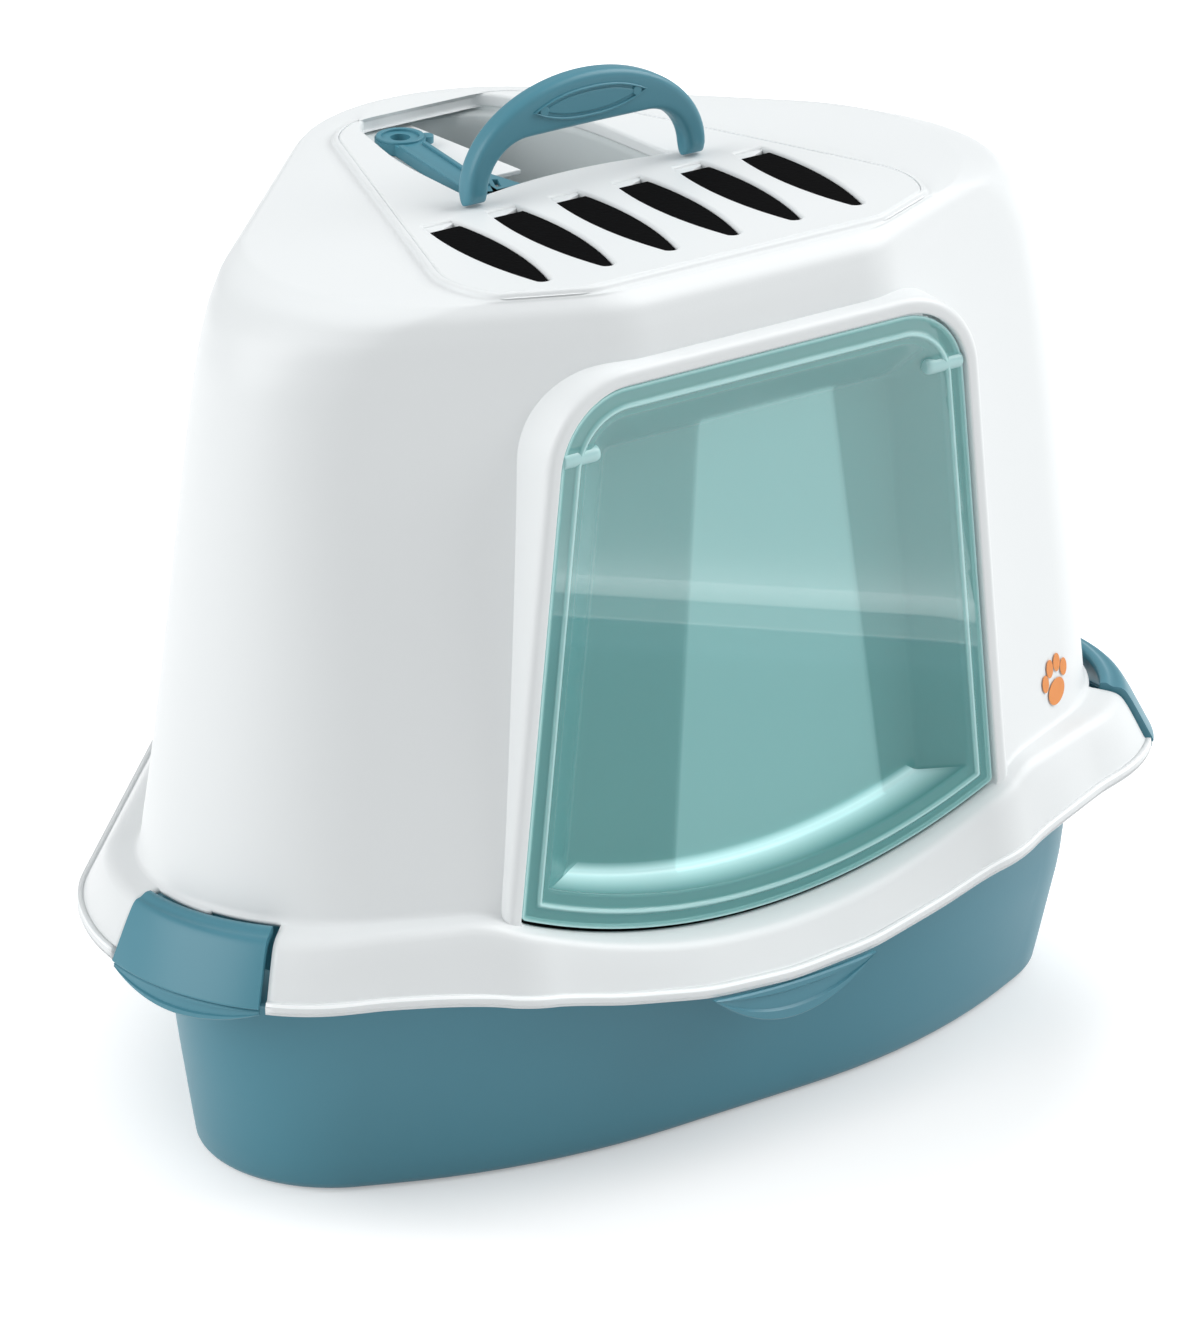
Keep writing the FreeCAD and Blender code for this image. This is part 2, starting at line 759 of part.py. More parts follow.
def make_scoop():
    low = shelf_z + scoop_gap
    head = V(scoop_head_x, scoop_head_y, low)
    neck = V(scoop_neck_x, scoop_neck_y, low)
    along = (neck - head).normalize()
    across = along.cross(up) * (scoop_shaft / 2)
    shaft = Part.Wire([
        line(head + across, neck + across),
        line(neck + across, neck - across),
        line(neck - across, head - across),
        line(head - across, head + across),
    ])
    handle = plate(shaft, scoop_wall).fuse(Part.makeCylinder(scoop_head_r, scoop_wall, head))
    hole = Part.makeCylinder(scoop_hole_r, scoop_wall, head)
    left = blade_mid_x - blade_width / 2
    right = blade_mid_x + blade_width / 2
    blade_y = scoop_neck_y - blade_wall / 2
    blade = box(left, right, blade_y, blade_y + blade_wall, blade_low_z, low + scoop_wall)
    rounded = blade.makeFillet(blade_corner_r, [
        e for e in blade.Edges
        if abs(e.BoundBox.ZMin - blade_low_z) < 1e-6 and e.BoundBox.YLength > blade_wall / 2
    ])
    slots = []
    pitch = blade_width / (blade_slots + 1)
    for i in range(blade_slots):
        x = left + pitch * (i + 1)
        low_z = blade_low_z + blade_slot_low
        slots.append(box(
            x - blade_slot / 2, x + blade_slot / 2, blade_y - 1, blade_y + blade_wall + 1,
            low_z, low_z + blade_slot_high - blade_slot_low,
        ))
    return handle.fuse(rounded).cut([hole] + slots)


def make_filter():
    top = ceiling_z - filter_gap
    half_x = filter_x / 2
    half_y = filter_y / 2
    return box(-half_x, half_x, filter_mid_y - half_y, filter_mid_y + half_y, top - filter_z, top)


def make_holder():
    # Shallow frame that carries the filter pad against the ceiling
    top = ceiling_z
    low = top - filter_gap - filter_z
    half_x = filter_x / 2 + filter_gap
    half_y = filter_y / 2 + filter_gap
    y = filter_mid_y
    wall = holder_wall
    lip = holder_lip
    frame = box(-half_x - wall, half_x + wall, y - half_y - wall, y + half_y + wall, low - wall, top)
    room = box(-half_x, half_x, y - half_y, y + half_y, low, top)
    window = box(-half_x + lip, half_x - lip, y - half_y + lip, y + half_y - lip, low - wall, low)
    bars = []
    pitch = (2 * half_x - 2 * lip) / (holder_bars + 1)
    for i in range(holder_bars):
        x = -half_x + lip + pitch * (i + 1)
        bars.append(box(x - lip / 2, x + lip / 2, y - half_y, y + half_y, low - wall, low))
    return frame.cut([room, window]).fuse(bars)


def save(shape, name):
    solid = shape.removeSplitter()
    print(name, solid.isValid(), len(solid.Solids), round(solid.Volume))
    solid.exportStep("parts/" + name + ".step")


os.makedirs("parts", exist_ok=True)
save(make_tray(), "litter_tray")
save(make_hood(), "hood")
save(make_door(), "swing_door")
save(make_latch(), "latch_right")
save(mirrored(make_latch()), "latch_left")
save(make_handle(), "carry_handle")
save(make_scoop(), "litter_scoop")
save(make_filter(), "carbon_filter")
save(make_holder(), "filter_holder")
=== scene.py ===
import math
import bmesh
import bpy
import numpy as np
from mathutils import Matrix, Vector


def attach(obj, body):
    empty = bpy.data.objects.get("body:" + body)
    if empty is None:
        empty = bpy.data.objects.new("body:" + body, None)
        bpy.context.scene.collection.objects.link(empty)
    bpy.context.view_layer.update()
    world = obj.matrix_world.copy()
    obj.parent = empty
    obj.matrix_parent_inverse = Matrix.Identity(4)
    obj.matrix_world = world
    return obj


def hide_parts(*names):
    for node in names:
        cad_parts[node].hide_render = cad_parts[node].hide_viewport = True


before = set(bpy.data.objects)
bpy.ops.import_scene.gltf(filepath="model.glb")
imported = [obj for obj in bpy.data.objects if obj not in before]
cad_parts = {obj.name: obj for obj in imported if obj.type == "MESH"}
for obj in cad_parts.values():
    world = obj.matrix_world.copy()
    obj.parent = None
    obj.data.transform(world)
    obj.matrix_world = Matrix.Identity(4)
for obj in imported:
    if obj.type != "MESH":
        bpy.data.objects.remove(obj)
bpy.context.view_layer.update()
print("frame loaded")

# Sizes below are in millimetres; a mesh turns them into metres where it is made
mm = 0.001


# Mesh helpers

def gridFaces(rows, cols, closeCols=False, closeRows=False):
    # Quads between neighbours in a grid of points numbered row by row, closed round where asked
    i, j = np.meshgrid(
        np.arange(rows if closeRows else rows - 1),
        np.arange(cols if closeCols else cols - 1),
        indexing="ij",
    )
    nextI = (i + 1) % rows
    nextJ = (j + 1) % cols
    corners = (i * cols + j, i * cols + nextJ, nextI * cols + nextJ, nextI * cols + j)
    return np.stack(corners, -1).reshape(-1, 4)


def addPiece(name, mesh, finish, body, sharpDeg=40, flat=False):
    # Smooth up to the sharp angle; flat leaves faces square to an axis plain
    mesh.shade_smooth()
    mesh.set_sharp_from_angle(angle=math.radians(sharpDeg))
    if flat:
        normals = np.empty(len(mesh.polygons) * 3)
        mesh.polygons.foreach_get("normal", normals)
        level = np.abs(normals.reshape(-1, 3)).max(axis=1) > 0.9995
        mesh.polygons.foreach_set("use_smooth", ~level)
    material, slotName = finish
    mesh.materials.append(material)
    piece = bpy.data.objects.new(name, mesh)
    bpy.context.scene.collection.objects.link(piece)
    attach(piece, body)
    return piece


def makeMesh(name, points, faces, outward=True):
    # Mesh in metres from points in millimetres; outward merges doubles and turns all faces out
    mesh = bpy.data.meshes.new(name)
    places = np.asarray(points, float).reshape(-1, 3) * mm
    mesh.from_pydata(places.tolist(), [], [list(f) for f in faces])
    if outward:
        bm = bmesh.new()
        bm.from_mesh(mesh)
        bmesh.ops.remove_doubles(bm, verts=bm.verts, dist=1e-6)
        bmesh.ops.recalc_face_normals(bm, faces=bm.faces)
        if bm.calc_volume(signed=True) < 0:  # a thin curved piece can come out inside out
            bmesh.ops.reverse_faces(bm, faces=bm.faces)
        bm.to_mesh(mesh)
        bm.free()
    return mesh


def thicken(piece, thickness):
    # Wall that grows inwards from the surface
    modifier = piece.modifiers.new("wall", "SOLIDIFY")
    modifier.thickness = thickness * mm
    modifier.offset = -1.0
    modifier.use_even_offset = False
    return modifier


def addTube(name, grid, finish, body, sharpDeg=40):
    # Closed rows joined into a tube, with a fan over each end
    rows, cols = grid.shape[:2]
    points = np.concatenate([grid.reshape(-1, 3), grid[:1].mean(axis=1), grid[-1:].mean(axis=1)])
    here = np.arange(cols)
    after = (here + 1) % cols
    tip = np.full(cols, rows * cols)
    last = (rows - 1) * cols
    firstFan = np.stack([tip, after, here], -1)
    lastFan = np.stack([tip + 1, last + here, last + after], -1)
    faces = [*gridFaces(rows, cols, closeCols=True), *firstFan, *lastFan]
    return addPiece(name, makeMesh(name, points, faces), finish, body, sharpDeg)


def plateMesh(name, loops, thickness, edge):
    # Flat plate with holes and rounded edges, lying in the plane z = 0 with its middle there
    curve = bpy.data.curves.new(name, "CURVE")
    curve.dimensions = "2D"
    curve.fill_mode = "BOTH"
    curve.extrude = (thickness / 2 - edge) * mm
    curve.bevel_depth = edge * mm
    curve.bevel_resolution = 3
    curve.offset = -edge * mm
    for loop in loops:
        spline = curve.splines.new("POLY")
        spline.points.add(len(loop) - 1)
        places = np.concatenate([loop * mm, np.zeros((len(loop), 1)), np.ones((len(loop), 1))], -1)
        spline.points.foreach_set("co", places.ravel())
        spline.use_cyclic_u = True
    holder = bpy.data.objects.new(name + "Outline", curve)
    bpy.context.scene.collection.objects.link(holder)
    graph = bpy.context.evaluated_depsgraph_get()
    mesh = bpy.data.meshes.new_from_object(holder.evaluated_get(graph))
    mesh.name = name
    bpy.data.objects.remove(holder)
    bpy.data.curves.remove(curve)
    return mesh


def layPlate(name, loops, top, thickness, edge, finish, body, sharpDeg=40):
    # Level plate with its upper face at the given height
    mesh = plateMesh(name, loops, thickness, edge)
    mesh.transform(Matrix.Translation((0, 0, (top - thickness / 2) * mm)))
    addPiece(name, mesh, finish, body, sharpDeg, flat=True)


def softPath(points, radii, steps=6, closed=False):
    # Path along points, each corner eased by a parabola over its radius; points can carry further axes
    points = np.asarray(points, float)
    count = len(points)
    rows = []
    for i in range(count):
        here = points[i]
        if not closed and i in (0, count - 1):
            rows.append(here)
            continue
        before = points[i - 1] - here
        after = points[(i + 1) % count] - here
        lengthA = np.linalg.norm(before, axis=-1, keepdims=True)
        lengthB = np.linalg.norm(after, axis=-1, keepdims=True)
        start = here + before * np.minimum(radii[i] / np.maximum(lengthA, 1e-9), 0.49)
        end = here + after * np.minimum(radii[i] / np.maximum(lengthB, 1e-9), 0.49)
        for t in np.linspace(0, 1, steps + 1):
            rows.append(start * (1 - t) ** 2 + here * 2 * t * (1 - t) + end * t ** 2)
    return np.array(rows)


def smoothRows(keys, values, places):
    # Cubic curve through rows of values at rising keys, with slopes from the neighbours
    keys = np.asarray(keys, float)
    values = np.asarray(values, float)
    slopes = np.gradient(values, keys, axis=0)
    i = np.clip(np.searchsorted(keys, places) - 1, 0, len(keys) - 2)
    span = (keys[i + 1] - keys[i])[:, None]
    t = ((places - keys[i])[:, None]) / span
    a = (1 + 2 * t) * (1 - t) ** 2 * values[i] + t * (1 - t) ** 2 * span * slopes[i]
    b = t * t * (3 - 2 * t) * values[i + 1] + t * t * (t - 1) * span * slopes[i + 1]
    return a + b


def turned(degrees):
    # Unit direction at an angle: cosine and sine
    angle = np.radians(degrees)
    return np.stack([np.cos(angle), np.sin(angle)], -1)


def circlePoints(count):
    # Unit circle by even turns
    return turned(np.linspace(0, 360, count, endpoint=False))


def atHeight(points, z):
    # Plan points lifted to a height, or each to its own
    return np.concatenate([points, np.broadcast_to(z, len(points))[:, None]], -1)


def atDepth(points, y):
    # Front view points, as x and z, set at a depth, or each at its own
    return np.stack([points[:, 0], np.broadcast_to(y, len(points)), points[:, 1]], -1)


def arcThrough(a, b, c, count):
    # Points on the circle through a, b and c, from a to c; its centre is equally far from all three
    (ax, ay), (bx, by), (cx, cy) = a, b, c
    sa = ax * ax + ay * ay
    sb = bx * bx + by * by
    sc = cx * cx + cy * cy
    d = 2 * (ax * (by - cy) + bx * (cy - ay) + cx * (ay - by))
    ux = (sa * (by - cy) + sb * (cy - ay) + sc * (ay - by)) / d
    uy = (sa * (cx - bx) + sb * (ax - cx) + sc * (bx - ax)) / d
    start = math.atan2(ay - uy, ax - ux)
    middle = (math.atan2(by - uy, bx - ux) - start) % (2 * math.pi)
    end = (math.atan2(cy - uy, cx - ux) - start) % (2 * math.pi)
    if middle > end:
        end -= 2 * math.pi
    angles = start + np.linspace(0, end, count)
    radius = math.hypot(ax - ux, ay - uy)
    return np.stack([ux + radius * np.cos(angles), uy + radius * np.sin(angles)], -1)


def mirrorLoop(half):
    # Closed loop from its right half, which starts and ends on the middle plane
    flip = np.array([-1.0] + [1.0] * (half.shape[-1] - 1))
    return np.concatenate([half, half[..., -2:0:-1, :] * flip], axis=-2)


# Materials

def addNode(nodes, kind, values=(), operation=None):
    # Shader node with its operation and its fixed inputs, given as pairs of socket and value
    node = nodes.new("ShaderNode" + kind)
    if operation:
        node.operation = operation
    for socket, value in values:
        node.inputs[socket].default_value = value
    return node


def grainGroup():
    # Colour drift, roughness drift and a fine moulded texture, from a coarse and a fine noise
    group = bpy.data.node_groups.new("mouldedGrain", "ShaderNodeTree")
    for label, kind, value in (
        ("Colour", "NodeSocketColor", (0.8, 0.8, 0.8, 1.0)),
        ("Drift", "NodeSocketFloat", 0.03),
        ("Roughness", "NodeSocketFloat", 0.4),
        ("Relief", "NodeSocketFloat", 0.05),
        ("Grain scale", "NodeSocketFloat", 900.0),
    ):
        socket = group.interface.new_socket(label, in_out="INPUT", socket_type=kind)
        socket.default_value = value
    for label, kind in (
        ("Colour", "NodeSocketColor"),
        ("Roughness", "NodeSocketFloat"),
        ("Normal", "NodeSocketVector"),
    ):
        group.interface.new_socket(label, in_out="OUTPUT", socket_type=kind)
    nodes = group.nodes
    source = nodes.new("NodeGroupInput")
    target = nodes.new("NodeGroupOutput")
    place = addNode(nodes, "TexCoord")
    cloud = addNode(nodes, "TexNoise", [("Scale", 9.0), ("Detail", 3.0)])
    centre = addNode(nodes, "Math", [(1, 0.5)], "SUBTRACT")
    drift = addNode(nodes, "Math", operation="MULTIPLY")
    gain = addNode(nodes, "Math", [(1, 1.0)], "ADD")
    tint = addNode(nodes, "VectorMath", operation="SCALE")
    rough = addNode(nodes, "Math", [(1, 0.08)], "MULTIPLY_ADD")
    speckle = addNode(nodes, "TexNoise", [("Detail", 2.0)])
    bump = addNode(nodes, "Bump", [("Distance", 0.0004)])
    for start, end in (
        (place.outputs["Object"], cloud.inputs["Vector"]),
        (cloud.outputs["Fac"], centre.inputs[0]),
        (centre.outputs[0], drift.inputs[0]),
        (source.outputs["Drift"], drift.inputs[1]),
        (drift.outputs[0], gain.inputs[0]),
        (source.outputs["Colour"], tint.inputs[0]),
        (gain.outputs[0], tint.inputs["Scale"]),
        (tint.outputs[0], target.inputs["Colour"]),
        (centre.outputs[0], rough.inputs[0]),
        (source.outputs["Roughness"], rough.inputs[2]),
        (rough.outputs[0], target.inputs["Roughness"]),
        (place.outputs["Object"], speckle.inputs["Vector"]),
        (source.outputs["Grain scale"], speckle.inputs["Scale"]),
        (source.outputs["Relief"], bump.inputs["Strength"]),
        (speckle.outputs["Fac"], bump.inputs["Height"]),
        (bump.outputs["Normal"], target.inputs["Normal"]),
    ):
        group.links.new(start, end)
    return group


grain = grainGroup()


def makeMaterial(name, colour, roughness, drift=0.03, relief=0.06, grainScale=900.0, alpha=1.0, glow=0.0):
    # Moulded plastic: the grain group feeds colour, roughness and normal; glow makes it emit its own
    # colour, painted light
    material = bpy.data.materials.new(name)
    material.use_nodes = True
    nodes = material.node_tree.nodes
    shader = nodes["Principled BSDF"]
    shader.inputs["Alpha"].default_value = alpha
    shader.inputs["Emission Color"].default_value = (*colour, 1.0)
    shader.inputs["Emission Strength"].default_value = glow
    texture = nodes.new("ShaderNodeGroup")
    texture.node_tree = grain
    texture.inputs["Colour"].default_value = (*colour, 1.0)
    texture.inputs["Drift"].default_value = drift
    texture.inputs["Roughness"].default_value = roughness
    texture.inputs["Relief"].default_value = relief
    texture.inputs["Grain scale"].default_value = grainScale
    for output, socket in (("Colour", "Base Color"), ("Roughness", "Roughness"), ("Normal", "Normal")):
        material.node_tree.links.new(texture.outputs[output], shader.inputs[socket])
    return material


whiteColour = (0.8, 0.825, 0.83)
whitePlastic = makeMaterial("whitePlastic", whiteColour, 0.4, drift=0.02)
bluePlastic = makeMaterial("bluePlastic", (0.068, 0.24, 0.31), 0.4, drift=0.06)
innerWhitePaintedLight = makeMaterial("innerWhitePaintedLight", whiteColour, 0.5, glow=0.24)  # painted light: a faint glow stands in for the light inside the hood
# Pocket walls: the white plastic greyed, painted shade for the deep pocket
pocketWhitePaintedShade = makeMaterial("pocketWhitePaintedShade", (0.6, 0.645, 0.65), 0.5)
# Inner ledge: white plastic with a glow, painted light
ledgeWhitePaintedLight = makeMaterial("ledgeWhitePaintedLight", whiteColour, 0.5, glow=0.6)
tealPale = makeMaterial("tealPale", (0.5, 0.78, 0.78), 0.2, drift=0.05, relief=0.02, alpha=0.9)
orangePrint = makeMaterial("orangePrint", (0.75, 0.24, 0.03), 0.4, drift=0.1)
# Black foam, darker than the foam's own colour: painted shade, so that slots and gaps read black
foamAndShadeColour = (0.0035, 0.0035, 0.0038)
blackFoamAndShade = makeMaterial("blackFoamAndShade", foamAndShadeColour, 0.85, drift=0.4, relief=0.8, grainScale=420.0)
blackFoamAndShade.node_tree.nodes["Principled BSDF"].inputs["Specular IOR Level"].default_value = 0.03


# Painted light on the door: each edge of its bright field is a direction and a shift in metres, inside
# where it is positive
sheen = {
    "edges": (
        ((1.0, 0.0, -0.056), 0.0491),
        ((-1.0, 0.0, -0.156), 0.1078),
        ((0.0, 0.0, -1.0), 0.366),
        ((0.0, 1.0, 0.0), 0.197),
    ),
    "soft": 0.0016,
    "field": 0.64,
    "edge": 0.7,
    "strength": 0.3,
    "alpha": (0.5, 0.85),
    "baseColour": (0.175, 0.485, 0.47),
    "paleColour": (0.6, 0.86, 0.86, 1.0),
    "lightColour": (0.62, 0.92, 0.92),
}


def clearMaterial():
    # Clear plastic: edges marked by an attribute are paler and denser and glow as painted highlights, and a
    # field of painted light lies on the panel
    material = makeMaterial("tealClear", sheen["baseColour"], 0.12, drift=0.05, relief=0.02)
    nodes = material.node_tree.nodes
    link = material.node_tree.links.new
    shader = nodes["Principled BSDF"]
    shader.inputs["Emission Strength"].default_value = sheen["strength"]
    texture = shader.inputs["Base Color"].links[0].from_node
    glow = addNode(nodes, "Attribute")
    glow.attribute_name = "glow"
    pale = addNode(nodes, "Mix")
    pale.data_type = "RGBA"
    pale.inputs["B"].default_value = sheen["paleColour"]
    place = addNode(nodes, "TexCoord")
    inside = None
    for direction, shift in sheen["edges"]:
        along = addNode(nodes, "VectorMath", [(1, direction)], "DOT_PRODUCT")
        link(place.outputs["Object"], along.inputs[0])
        depth = addNode(nodes, "Math", [(1, shift)], "ADD")
        link(along.outputs["Value"], depth.inputs[0])
        if inside:
            least = addNode(nodes, "Math", operation="MINIMUM")
            link(inside, least.inputs[0])
            link(depth.outputs[0], least.inputs[1])
            depth = least
        inside = depth.outputs[0]
    field = addNode(nodes, "MapRange", [("From Max", sheen["soft"]), ("To Max", sheen["field"])])
    light = addNode(nodes, "Math", [(1, sheen["edge"])], "MULTIPLY_ADD")
    shine = addNode(nodes, "VectorMath", [(0, sheen["lightColour"])], "SCALE")
    thin, thick = sheen["alpha"]
    dense = addNode(nodes, "MapRange", [("To Min", thin), ("To Max", thick)])
    for start, end in (
        (glow.outputs["Fac"], pale.inputs["Factor"]),
        (texture.outputs["Colour"], pale.inputs["A"]),
        (pale.outputs["Result"], shader.inputs["Base Color"]),
        (inside, field.inputs["Value"]),
        (glow.outputs["Fac"], light.inputs[0]),
        (field.outputs["Result"], light.inputs[2]),
        (light.outputs[0], shine.inputs["Scale"]),
        (shine.outputs[0], shader.inputs["Emission Color"]),
        (glow.outputs["Fac"], dense.inputs["Value"]),
        (dense.outputs["Result"], shader.inputs["Alpha"]),
    ):
        link(start, end)
    return material


tealClear = clearMaterial()

# A finish is a material and the slot of the record that it stands for
whiteFinish = (whitePlastic, "white_plastic")
blueFinish = (bluePlastic, "blue_plastic")
foamAndShadeFinish = (blackFoamAndShade, "black_foam")
print("materials made")


# Plan shape shared by hood and tray: right half from the front's middle to the back's middle

plan = {
    "wing": (172.0, -95.0),
    "flankDeg": -66.0,
    "backDeg": 45.0,
    "backCentreY": 4.0,
    "frontSteps": 26,
    "frontArcSteps": 10,
    "flankSteps": 26,
    "wingDegs": (-66.0, -42.2, 3.0, 45.0),
    "wingSteps": (14, 26, 18),
    "backSteps": 30,
    "backArcSteps": 26,
}

# Last columns of the front, the flank and the wing
frontEnd = plan["frontSteps"] + plan["frontArcSteps"]
flankEnd = frontEnd + plan["flankSteps"]
wingEnd = flankEnd + sum(plan["wingSteps"])
frontArcDegs = np.linspace(-90.0, plan["flankDeg"], plan["frontArcSteps"], endpoint=False)
backArcDegs = np.linspace(plan["backDeg"], 90.0, plan["backArcSteps"] + 1)
wingSpans = zip(plan["wingDegs"], plan["wingDegs"][1:], plan["wingSteps"])
wingDegs = np.concatenate([np.linspace(a, b, count, endpoint=False) for a, b, count in wingSpans])
halfDegs = np.concatenate([
    np.full(plan["frontSteps"], -90.0),
    frontArcDegs,
    np.full(plan["flankSteps"], plan["flankDeg"]),
    wingDegs,
    np.full(plan["backSteps"], plan["backDeg"]),
    backArcDegs,
])
halfOut = turned(halfDegs)


def planHalf(front, flank, back, frontR, wingR):
    # Right half of the outline for one level: straight walls joined by arcs tangent to them
    flankOut = turned(plan["flankDeg"])
    backOut = turned(plan["backDeg"])
    wing = np.array(plan["wing"])
    flankLine = wing @ flankOut + flank
    backLine = wing @ backOut + back
    arcY = front + frontR
    frontCentre = np.array([(flankLine - frontR - flankOut[1] * arcY) / flankOut[0], arcY])
    wingCentre = np.linalg.solve(np.array([flankOut, backOut]), [flankLine - wingR, backLine - wingR])
    backCentre = np.array([0.0, plan["backCentreY"]])
    backR = backLine - backCentre @ backOut

    def straight(a, b, count):
        return np.linspace(a, b, count, endpoint=False)

    frontArc = frontCentre + frontR * turned(frontArcDegs)
    wingArc = wingCentre + wingR * turned(wingDegs)
    backArc = backCentre + backR * turned(backArcDegs)
    return np.concatenate([
        straight([0.0, front], frontArc[0], plan["frontSteps"]),
        frontArc,
        straight(frontCentre + frontR * flankOut, wingArc[0], plan["flankSteps"]),
        wingArc,
        straight(wingCentre + wingR * backOut, backArc[0], plan["backSteps"]),
        backArc,
    ])


def planTable(levels, step):
    # Outlines at evenly spaced heights through the given levels
    levels = np.array(levels)
    heights = np.arange(levels[0, 0], levels[-1, 0] + step / 2, step)
    sizes = smoothRows(levels[:, 0], levels[:, 1:], heights)
    return heights, np.array([planHalf(*row) for row in sizes])


def tableAt(heights, table, z):
    # Point of each column of a table of outlines at that column's own height
    place = np.clip((z - heights[0]) / (heights[1] - heights[0]), 0, len(heights) - 1.001)
    low = place.astype(int)
    share = (place - low)[:, None]
    columns = np.arange(table.shape[1])
    return table[low, columns] * (1 - share) + table[low + 1, columns] * share


# Crease and skirt, by column of the plan

skirt = {
    "creaseZ": 150.0,
    "sillZ": 111.5,
    "sillR": 341.0,
    "sillEndX": 165.0,
    "edgeZ": 120.5,
    "edgeFrontZ": 86.0,
    "edgeFrontR": 470.0,
    "crease": (-210.0, 92.0, 90.0, 40.0, 90.5),
    "frontWidths": ((0.0, 26.5), (48.0, 25.0), (96.0, 19.5), (124.0, 17.0)),
    "flankRows": ((0.12, 19.0, 110.5), (0.5, 23.0, 114.5), (1.0, 25.0, 116.5)),
    "wingWidths": ((-54.0, 31.0), (-41.0, 35.0), (-20.0, 32.5), (1.0, 29.0), (22.0, 28.5), (45.0, 31.0)),
    "wingEdges": ((-54.0, 117.5), (-41.0, 119.3), (-20.0, 120.5), (45.0, 120.5)),
    "backWidth": 33.0,
    "wall": 2.8,
    "samples": 1200,
    "blur": 60,
}

creaseHalf = planHalf(*skirt["crease"])


def edgeDip(x):
    # Skirt's lower edge across the front: the bottom of a circle
    return skirt["edgeFrontZ"] + skirt["edgeFrontR"] - np.sqrt(skirt["edgeFrontR"] ** 2 - x ** 2)


def skirtRows():
    # Width, lower edge and crease height for each column: marks along the crease, blurred by a bell curve
    steps = np.linalg.norm(np.diff(creaseHalf, axis=0), axis=1)
    length = np.concatenate([[0.0], np.cumsum(steps)])
    marks = []
    for x, width in skirt["frontWidths"]:
        marks.append((np.interp(x, creaseHalf[:frontEnd, 0], length[:frontEnd]), width, edgeDip(x)))
    for share, width, edge in skirt["flankRows"]:
        marks.append((length[frontEnd] + share * (length[flankEnd] - length[frontEnd]), width, edge))
    for degrees, width in skirt["wingWidths"]:
        edge = np.interp(degrees, *zip(*skirt["wingEdges"]))
        marks.append((np.interp(degrees, wingDegs, length[flankEnd:wingEnd]), width, edge))
    for place in (length[-plan["backArcSteps"] - 1], length[-1]):
        marks.append((place, skirt["backWidth"], skirt["edgeZ"]))
    places, widths, edges = np.array(marks).T
    fine = np.linspace(0, length[-1], skirt["samples"])
    across = np.interp(fine, length, creaseHalf[:, 0])
    sill = skirt["sillZ"] + skirt["sillR"] - np.sqrt(np.maximum(skirt["sillR"] ** 2 - across ** 2, 1.0))
    crease = np.minimum(skirt["creaseZ"], sill)
    crease[(across > skirt["sillEndX"]) | (fine > length[flankEnd])] = skirt["creaseZ"]
    blur = skirt["blur"]
    kernel = np.hanning(blur + 1)
    kernel /= kernel.sum()
    rows = []
    for values in (np.interp(fine, places, widths), np.interp(fine, places, edges), crease):
        padded = np.concatenate([values[blur:0:-1], values, values[-2:-blur - 2:-1]])
        smooth = np.convolve(padded, kernel, mode="same")[blur:-blur]
        rows.append(np.interp(length, fine, smooth))
    return rows


widthHalf, edgeHalf, creaseZHalf = skirtRows()


# Door outline, right half from the top's middle to the bottom's middle, as (x, z)

door = {
    "topZ": 397.0,
    "lowZ": 114.5,
    "lowR": 341.0,
    "lowReach": 120.0,
    "halfX": 116.2,
    "hingeZ": 368.0,
    "sideDeg": 6.1,
    "cornerR": 37.0,
    "footR": 3.0,
    "faceY": -209.0,
    "wall": 2.4,
    "topSteps": 20,
    "cornerSteps": 16,
    "sideSteps": 40,
    "footSteps": 6,
    "lowSteps": 40,
}
doorOut = turned(door["sideDeg"])
doorLine = door["halfX"] * doorOut[0] + door["hingeZ"] * doorOut[1]


def doorHalf(side, top, low):
    # Outline moved outward by its own margin at the sides, the top and the bottom
    down = np.array([doorOut[1], -doorOut[0]])
    line = doorLine + side
    topZ = door["topZ"] + top
    cornerR = max(door["cornerR"] + min(side, top), 4.0)
    corner = np.array([(line - cornerR - (topZ - cornerR) * doorOut[1]) / doorOut[0], topZ - cornerR])
    centre = np.array([0.0, door["lowZ"] + door["lowR"]])
    radius = door["lowR"] + low
    footR = max(door["footR"] + min(side, low), 1.5)
    across = line - footR - centre @ doorOut
    foot = centre + doorOut * across + down * math.sqrt((radius - footR) ** 2 - across ** 2)
    footDeg = math.degrees(math.atan2(*(foot - centre)[::-1]))
    sideDeg = door["sideDeg"]
    return np.concatenate([
        np.linspace([0.0, topZ], [corner[0], topZ], door["topSteps"], endpoint=False),
        corner + cornerR * turned(np.linspace(90.0, sideDeg, door["cornerSteps"], endpoint=False)),
        np.linspace(corner + cornerR * doorOut, foot + footR * doorOut, door["sideSteps"], endpoint=False),
        foot + footR * turned(np.linspace(sideDeg, footDeg, door["footSteps"], endpoint=False)),
        centre + radius * turned(np.linspace(footDeg, -90.0, door["lowSteps"] + 1)),
    ])


def doorLoop(side, top, low, y):
    # Whole outline of the door with its margins, at a depth
    return atDepth(mirrorLoop(doorHalf(side, top, low)), y)


def doorMargin(points):
    # Signed distance from the door's outline, seen from the front: the most of its edges' distances
    x = np.abs(points[..., 0])
    z = points[..., 2]
    side = x * doorOut[0] + z * doorOut[1] - doorLine
    top = z - door["topZ"]
    low = np.hypot(x, z - door["lowZ"] - door["lowR"]) - door["lowR"]
    low = np.where(z < door["lowZ"] + door["lowReach"], low, -1e3)
    cornerZ = door["topZ"] - door["cornerR"]
    cornerX = (doorLine - door["cornerR"] - cornerZ * doorOut[1]) / doorOut[0]
    corner = np.hypot(x - cornerX, z - cornerZ) - door["cornerR"]
    rounded = np.where((x > cornerX) & (z > cornerZ), corner, -1e3)
    return np.maximum(np.maximum(side, top), np.maximum(low, rounded))


# Hood wall, roof and skirt in one sheet

